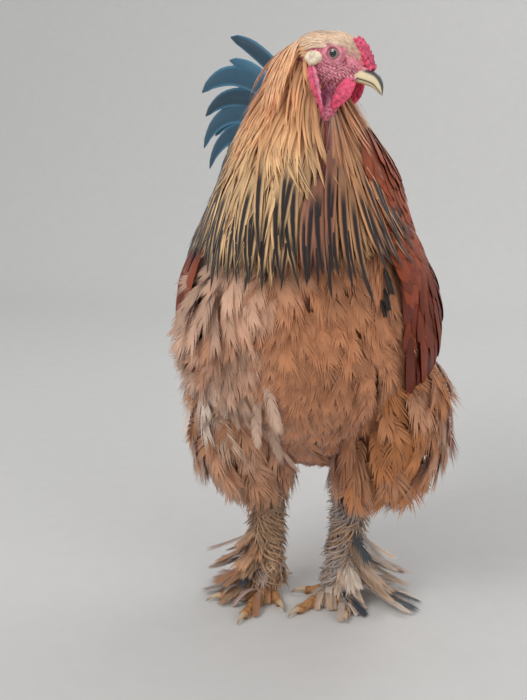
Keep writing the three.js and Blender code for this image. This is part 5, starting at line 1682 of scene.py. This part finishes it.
class OBJECT_OT_brahma_shanks(Make):
    """Feathering of the shanks and feet: fluff, and long feathers out from the side and over the toes"""
    bl_idname = "object.brahma_shanks"
    bl_label = "Shank and foot feathers"

    def fluff(self, leg, coat, plumage):
        seed = 811 if leg == "left" else 821
        rng = np.random.default_rng(seed)
        surface = SHANKS[leg]
        s, angle = surface.scatter(600, (-0.15, 0.97), (-math.pi, math.pi), seed)
        at = surface.place(s, angle)
        tuft, fan, shorter = in_tufts(rng, s, angle, 4, 0.5, 0.4)
        reach = mix(36, 26, smooth(s, 0, 1))[tuft] * shorter * shares(0.7, 1.2, rng, len(tuft))
        outer = smooth(np.sin(angle) * (1 if leg == "left" else -1), -0.2, 0.8)
        puff = (mix(9, 16, outer) + 3.5 * ripple(at, 18, seed + 1))[tuft] + rng.normal(0, 1.5, len(tuft))
        path, normal = surface.lay(s[tuft], angle[tuft], reach, fan + 0.3 * ripple(at, 20, seed + 2)[tuft],
                                   lambda t, a, b: mix(-1.5, puff[:, None], t ** 0.8), 6)
        path[..., 2] = np.maximum(path[..., 2], 2.5)
        shank, down = colour_array(plumage.shank, plumage.down)
        grey = smooth(ripple(at, 30, seed + 3) + (0.8 if leg == "left" else -0.5), 0.0, 1.0)
        colour = blend_colours(shank, down, grey * 0.8) * (0.85 + 0.3 * rng.random(len(s)))[:, None]
        return path, normal, shares(2.2, 4.0, rng, len(tuft)), colour[tuft], marks_of(
            0.0, 0.0, rng.random(len(s)))[tuft], body_map(s * 10 + 1, angle)[tuft]

    def long_ones(self, leg, coat, plumage):
        seed = 831 if leg == "left" else 839
        rng = np.random.default_rng(seed)
        outward = 1 if leg == "left" else -1
        hock, ankle = HOCKS[leg], ANKLES[leg]
        count = 40
        down = np.sort(mix(0.25, 1.0, rng.random(count) ** 0.55))
        turn = np.radians(mix(-42, 104, rng.random(count)))
        side = np.cos(turn - math.radians(10)) ** 2
        root = mix(hock, ankle, mix(0.1, 0.96, down)[:, None])
        heading = np.stack([outward * np.cos(turn), -np.sin(turn), 0 * turn], -1)
        reach = mix(52, 102 if leg == "left" else 80, down)
        length = mix(34, reach, side) * rng.uniform(0.75, 1.08, count)
        drop = np.minimum(root[:, 2] - 4 - 4 * rng.random(count), mix(44, 30, side) + 8 * rng.random(count))
        s = np.linspace(0, 1, 8)[None, :]
        path = root[:, None] + heading[:, None] * (length[:, None] * s * (1 - 0.1 * s))[..., None]
        path = path - Z * (drop[:, None] * s ** 0.8 * (1.25 - 0.25 * s))[..., None]
        sway = np.cross(heading, Z) * rng.normal(0, 6, count)[:, None]
        path = path + sway[:, None] * (s ** 2)[..., None]
        normal = np.broadcast_to(Z, path.shape) + heading[:, None] * 0.4
        return path, normal, down, root

    def toe_feathers(self, leg, rng):
        paths, roots = [], []
        for toe in ("middle", "outer"):
            heading = toe_heading(leg, toe)
            outward = np.cross(heading, Z) * (-1 if leg == "left" else 1)
            line = toe_line(leg, toe)
            for k in range(11):
                root = row_at(line, mix(0.1, 2.1 if toe == "outer" else 1.2, rng.random())) + Z * rng.uniform(2, 6)
                lean = unit(heading * rng.uniform(0.5, 1.2) + outward * rng.uniform(-0.35, 0.9))
                length = rng.uniform(20, 38)
                s = np.linspace(0, 1, 8)
                rise = (3.0 - root[2]) * s ** 1.4 + rng.uniform(3, 9) * np.sin(math.pi * s)
                paths.append(root + lean * (length * s)[:, None] + Z * rise[:, None])
                roots.append(root)
        return np.array(paths), np.array(roots)

    def build(self, plumage, flesh, coat):
        material = plume_finish("Leg plumage", tuple(plumage.stripe), 8.0, 0.68, 0.35, 0.2, None, 0.2)
        shank, down, cream, thigh, dark_blue = colour_array(
            plumage.shank, plumage.down, plumage.cream, plumage.thigh, plumage.tail)
        for leg in ANKLES:
            rng = np.random.default_rng(851 if leg == "left" else 857)
            groups = [self.fluff(leg, coat, plumage)]
            path, normal, share, root = self.long_ones(leg, coat, plumage)
            toe_path, toe_root = self.toe_feathers(leg, rng)
            columns = [np.concatenate(c) for c in zip(*groups)]
            piece = feathers(f"leg_down_{leg}", columns[0], columns[1], columns[2], WISP, *columns[3:], 0.16, 0.25)
            finish_piece(piece, material, "leg_feathers")
            groups = []
            for some, its_normal, width in ((path, normal, 19.0), (toe_path, np.broadcast_to(Z, toe_path.shape), 11.0)):
                some[..., 2] = np.maximum(some[..., 2], 2.0)
                pale = cream if leg == "left" else thigh
                count = len(some)
                colour = blend_colours(shank, pale, rng.random(count) * 0.8)
                colour = blend_colours(colour, down, (rng.random(count) < 0.2) * 0.6)
                colour = blend_colours(colour, dark_blue, (rng.random(count) < 0.12) * 0.95)
                maps = np.clip(np.stack([some[:, 0, 0] / 260 + 0.5, some[:, 0, 1] / 260 + 0.5], -1), 0.05, 0.95)
                groups.append((some, its_normal, width * shares(0.75, 1.15, rng, count), colour,
                               marks_of(0.0, 0.0, rng.random(count)), maps))
            columns = [np.concatenate(c) for c in zip(*groups)]
            piece = plumes(f"leg_vanes_{leg}", *columns, rng, 28, 1.5, 50, 0.14, 0.06)
            finish_piece(piece, material, "leg_feathers", f"shank_{leg}")


class OBJECT_OT_brahma_stage(bpy.types.Operator):
    """Pale floor, soft studio light and the camera"""
    bl_idname = "object.brahma_stage"
    bl_label = "Stage"

    def execute(self, context):
        studio = context.scene.brahma_studio
        rise = np.linspace(0, 1, 30)
        y = np.concatenate([[-4.0], np.linspace(1.4, 2.4, 30)])
        z = np.concatenate([[0.0], 1.4 * rise ** 3])
        rings = []
        for x in (-4.0, 4.0):
            rings.append([[x / MM, at / MM, height / MM] for at, height in zip(y, z)])
        points = np.concatenate(rings) - STANCE
        n = len(y)
        floor = from_faces("floor", points, [np.array([i, i + 1, n + i + 1, n + i]) for i in range(n - 1)])
        g = Graph("Floor")
        speck = g.noise(40.0, 3.0)
        floor.data.materials.append(g.finish(g.blend(speck, rgb(studio.floor), rgb([c * 0.93 for c in studio.floor])), 0.9))
        world = bpy.data.worlds.new("Studio")
        world.use_nodes = True
        world.node_tree.nodes["Background"].inputs["Color"].default_value = (0.92, 0.95, 1.0, 1)
        world.node_tree.nodes["Background"].inputs["Strength"].default_value = 0.55
        context.scene.world = world
        for name, place, size, power in (
                ("key", (-1.3, -1.5, 2.0), 1.3, studio.key), ("fill", (1.6, -1.3, 1.1), 1.6, studio.fill),
                ("rim", (0.9, 1.6, 1.9), 1.0, studio.fill * 1.4)):
            lamp = bpy.data.lights.new(name, "AREA")
            lamp.size, lamp.energy = size, power
            light = bpy.data.objects.new(name, lamp)
            light.location = place
            way = Vector((0, 0, 0.35)) - light.location
            light.rotation_euler = way.to_track_quat("-Z", "Y").to_euler()
            context.scene.collection.objects.link(light)
        camera = bpy.data.cameras.new("camera")
        camera.sensor_fit, camera.sensor_height = "VERTICAL", 36.0
        camera.lens = 36.0 * studio.lens_pixels / 700
        view = bpy.data.objects.new("camera", camera)
        turn = studio.azimuth
        right = Vector((math.cos(turn), math.sin(turn), 0))
        stance = Vector(STANCE * MM)
        base = Vector((studio.distance * math.sin(turn), -studio.distance * math.cos(turn), studio.height))
        view.location = base - right * studio.aside + stance
        view.rotation_euler = (math.pi / 2 + studio.pitch, 0, turn)
        context.scene.collection.objects.link(view)
        context.scene.camera = view
        context.scene.view_settings.view_transform = "Standard"
        return {"FINISHED"}


class VIEW3D_PT_brahma(bpy.types.Panel):
    bl_label = "Brahma cock"
    bl_space_type = "VIEW_3D"
    bl_region_type = "UI"
    bl_category = "Brahma cock"

    def draw(self, context):
        scene = context.scene
        for group in (scene.brahma_plumage, scene.brahma_flesh, scene.brahma_coat, scene.brahma_studio):
            column = self.layout.column()
            for name in group.__annotations__:
                column.prop(group, name)
        for operator in OPERATORS:
            self.layout.operator(operator.bl_idname)


GROUPS = {
    "brahma_plumage": PlumageColours, "brahma_flesh": FleshColours, "brahma_coat": CoatSizes,
    "brahma_studio": StudioSettings,
}
OPERATORS = [
    OBJECT_OT_brahma_stage, OBJECT_OT_brahma_skin, OBJECT_OT_brahma_eyes, OBJECT_OT_brahma_comb,
    OBJECT_OT_brahma_wattles, OBJECT_OT_brahma_horn, OBJECT_OT_brahma_crown, OBJECT_OT_brahma_hackle,
    OBJECT_OT_brahma_breast, OBJECT_OT_brahma_thighs, OBJECT_OT_brahma_wings, OBJECT_OT_brahma_saddle,
    OBJECT_OT_brahma_tail, OBJECT_OT_brahma_shanks,
]


def register():
    for kind in (*GROUPS.values(), *OPERATORS, VIEW3D_PT_brahma):
        bpy.utils.register_class(kind)
    for name, group in GROUPS.items():
        setattr(bpy.types.Scene, name, PointerProperty(type=group))


def unregister():
    for name in GROUPS:
        delattr(bpy.types.Scene, name)
    for kind in (VIEW3D_PT_brahma, *reversed(OPERATORS), *reversed(list(GROUPS.values()))):
        bpy.utils.unregister_class(kind)


def main():
    register()
    for operator in OPERATORS:
        group, name = operator.bl_idname.split(".")
        getattr(getattr(bpy.ops, group), name)()


if __name__ == "__main__":
    main()
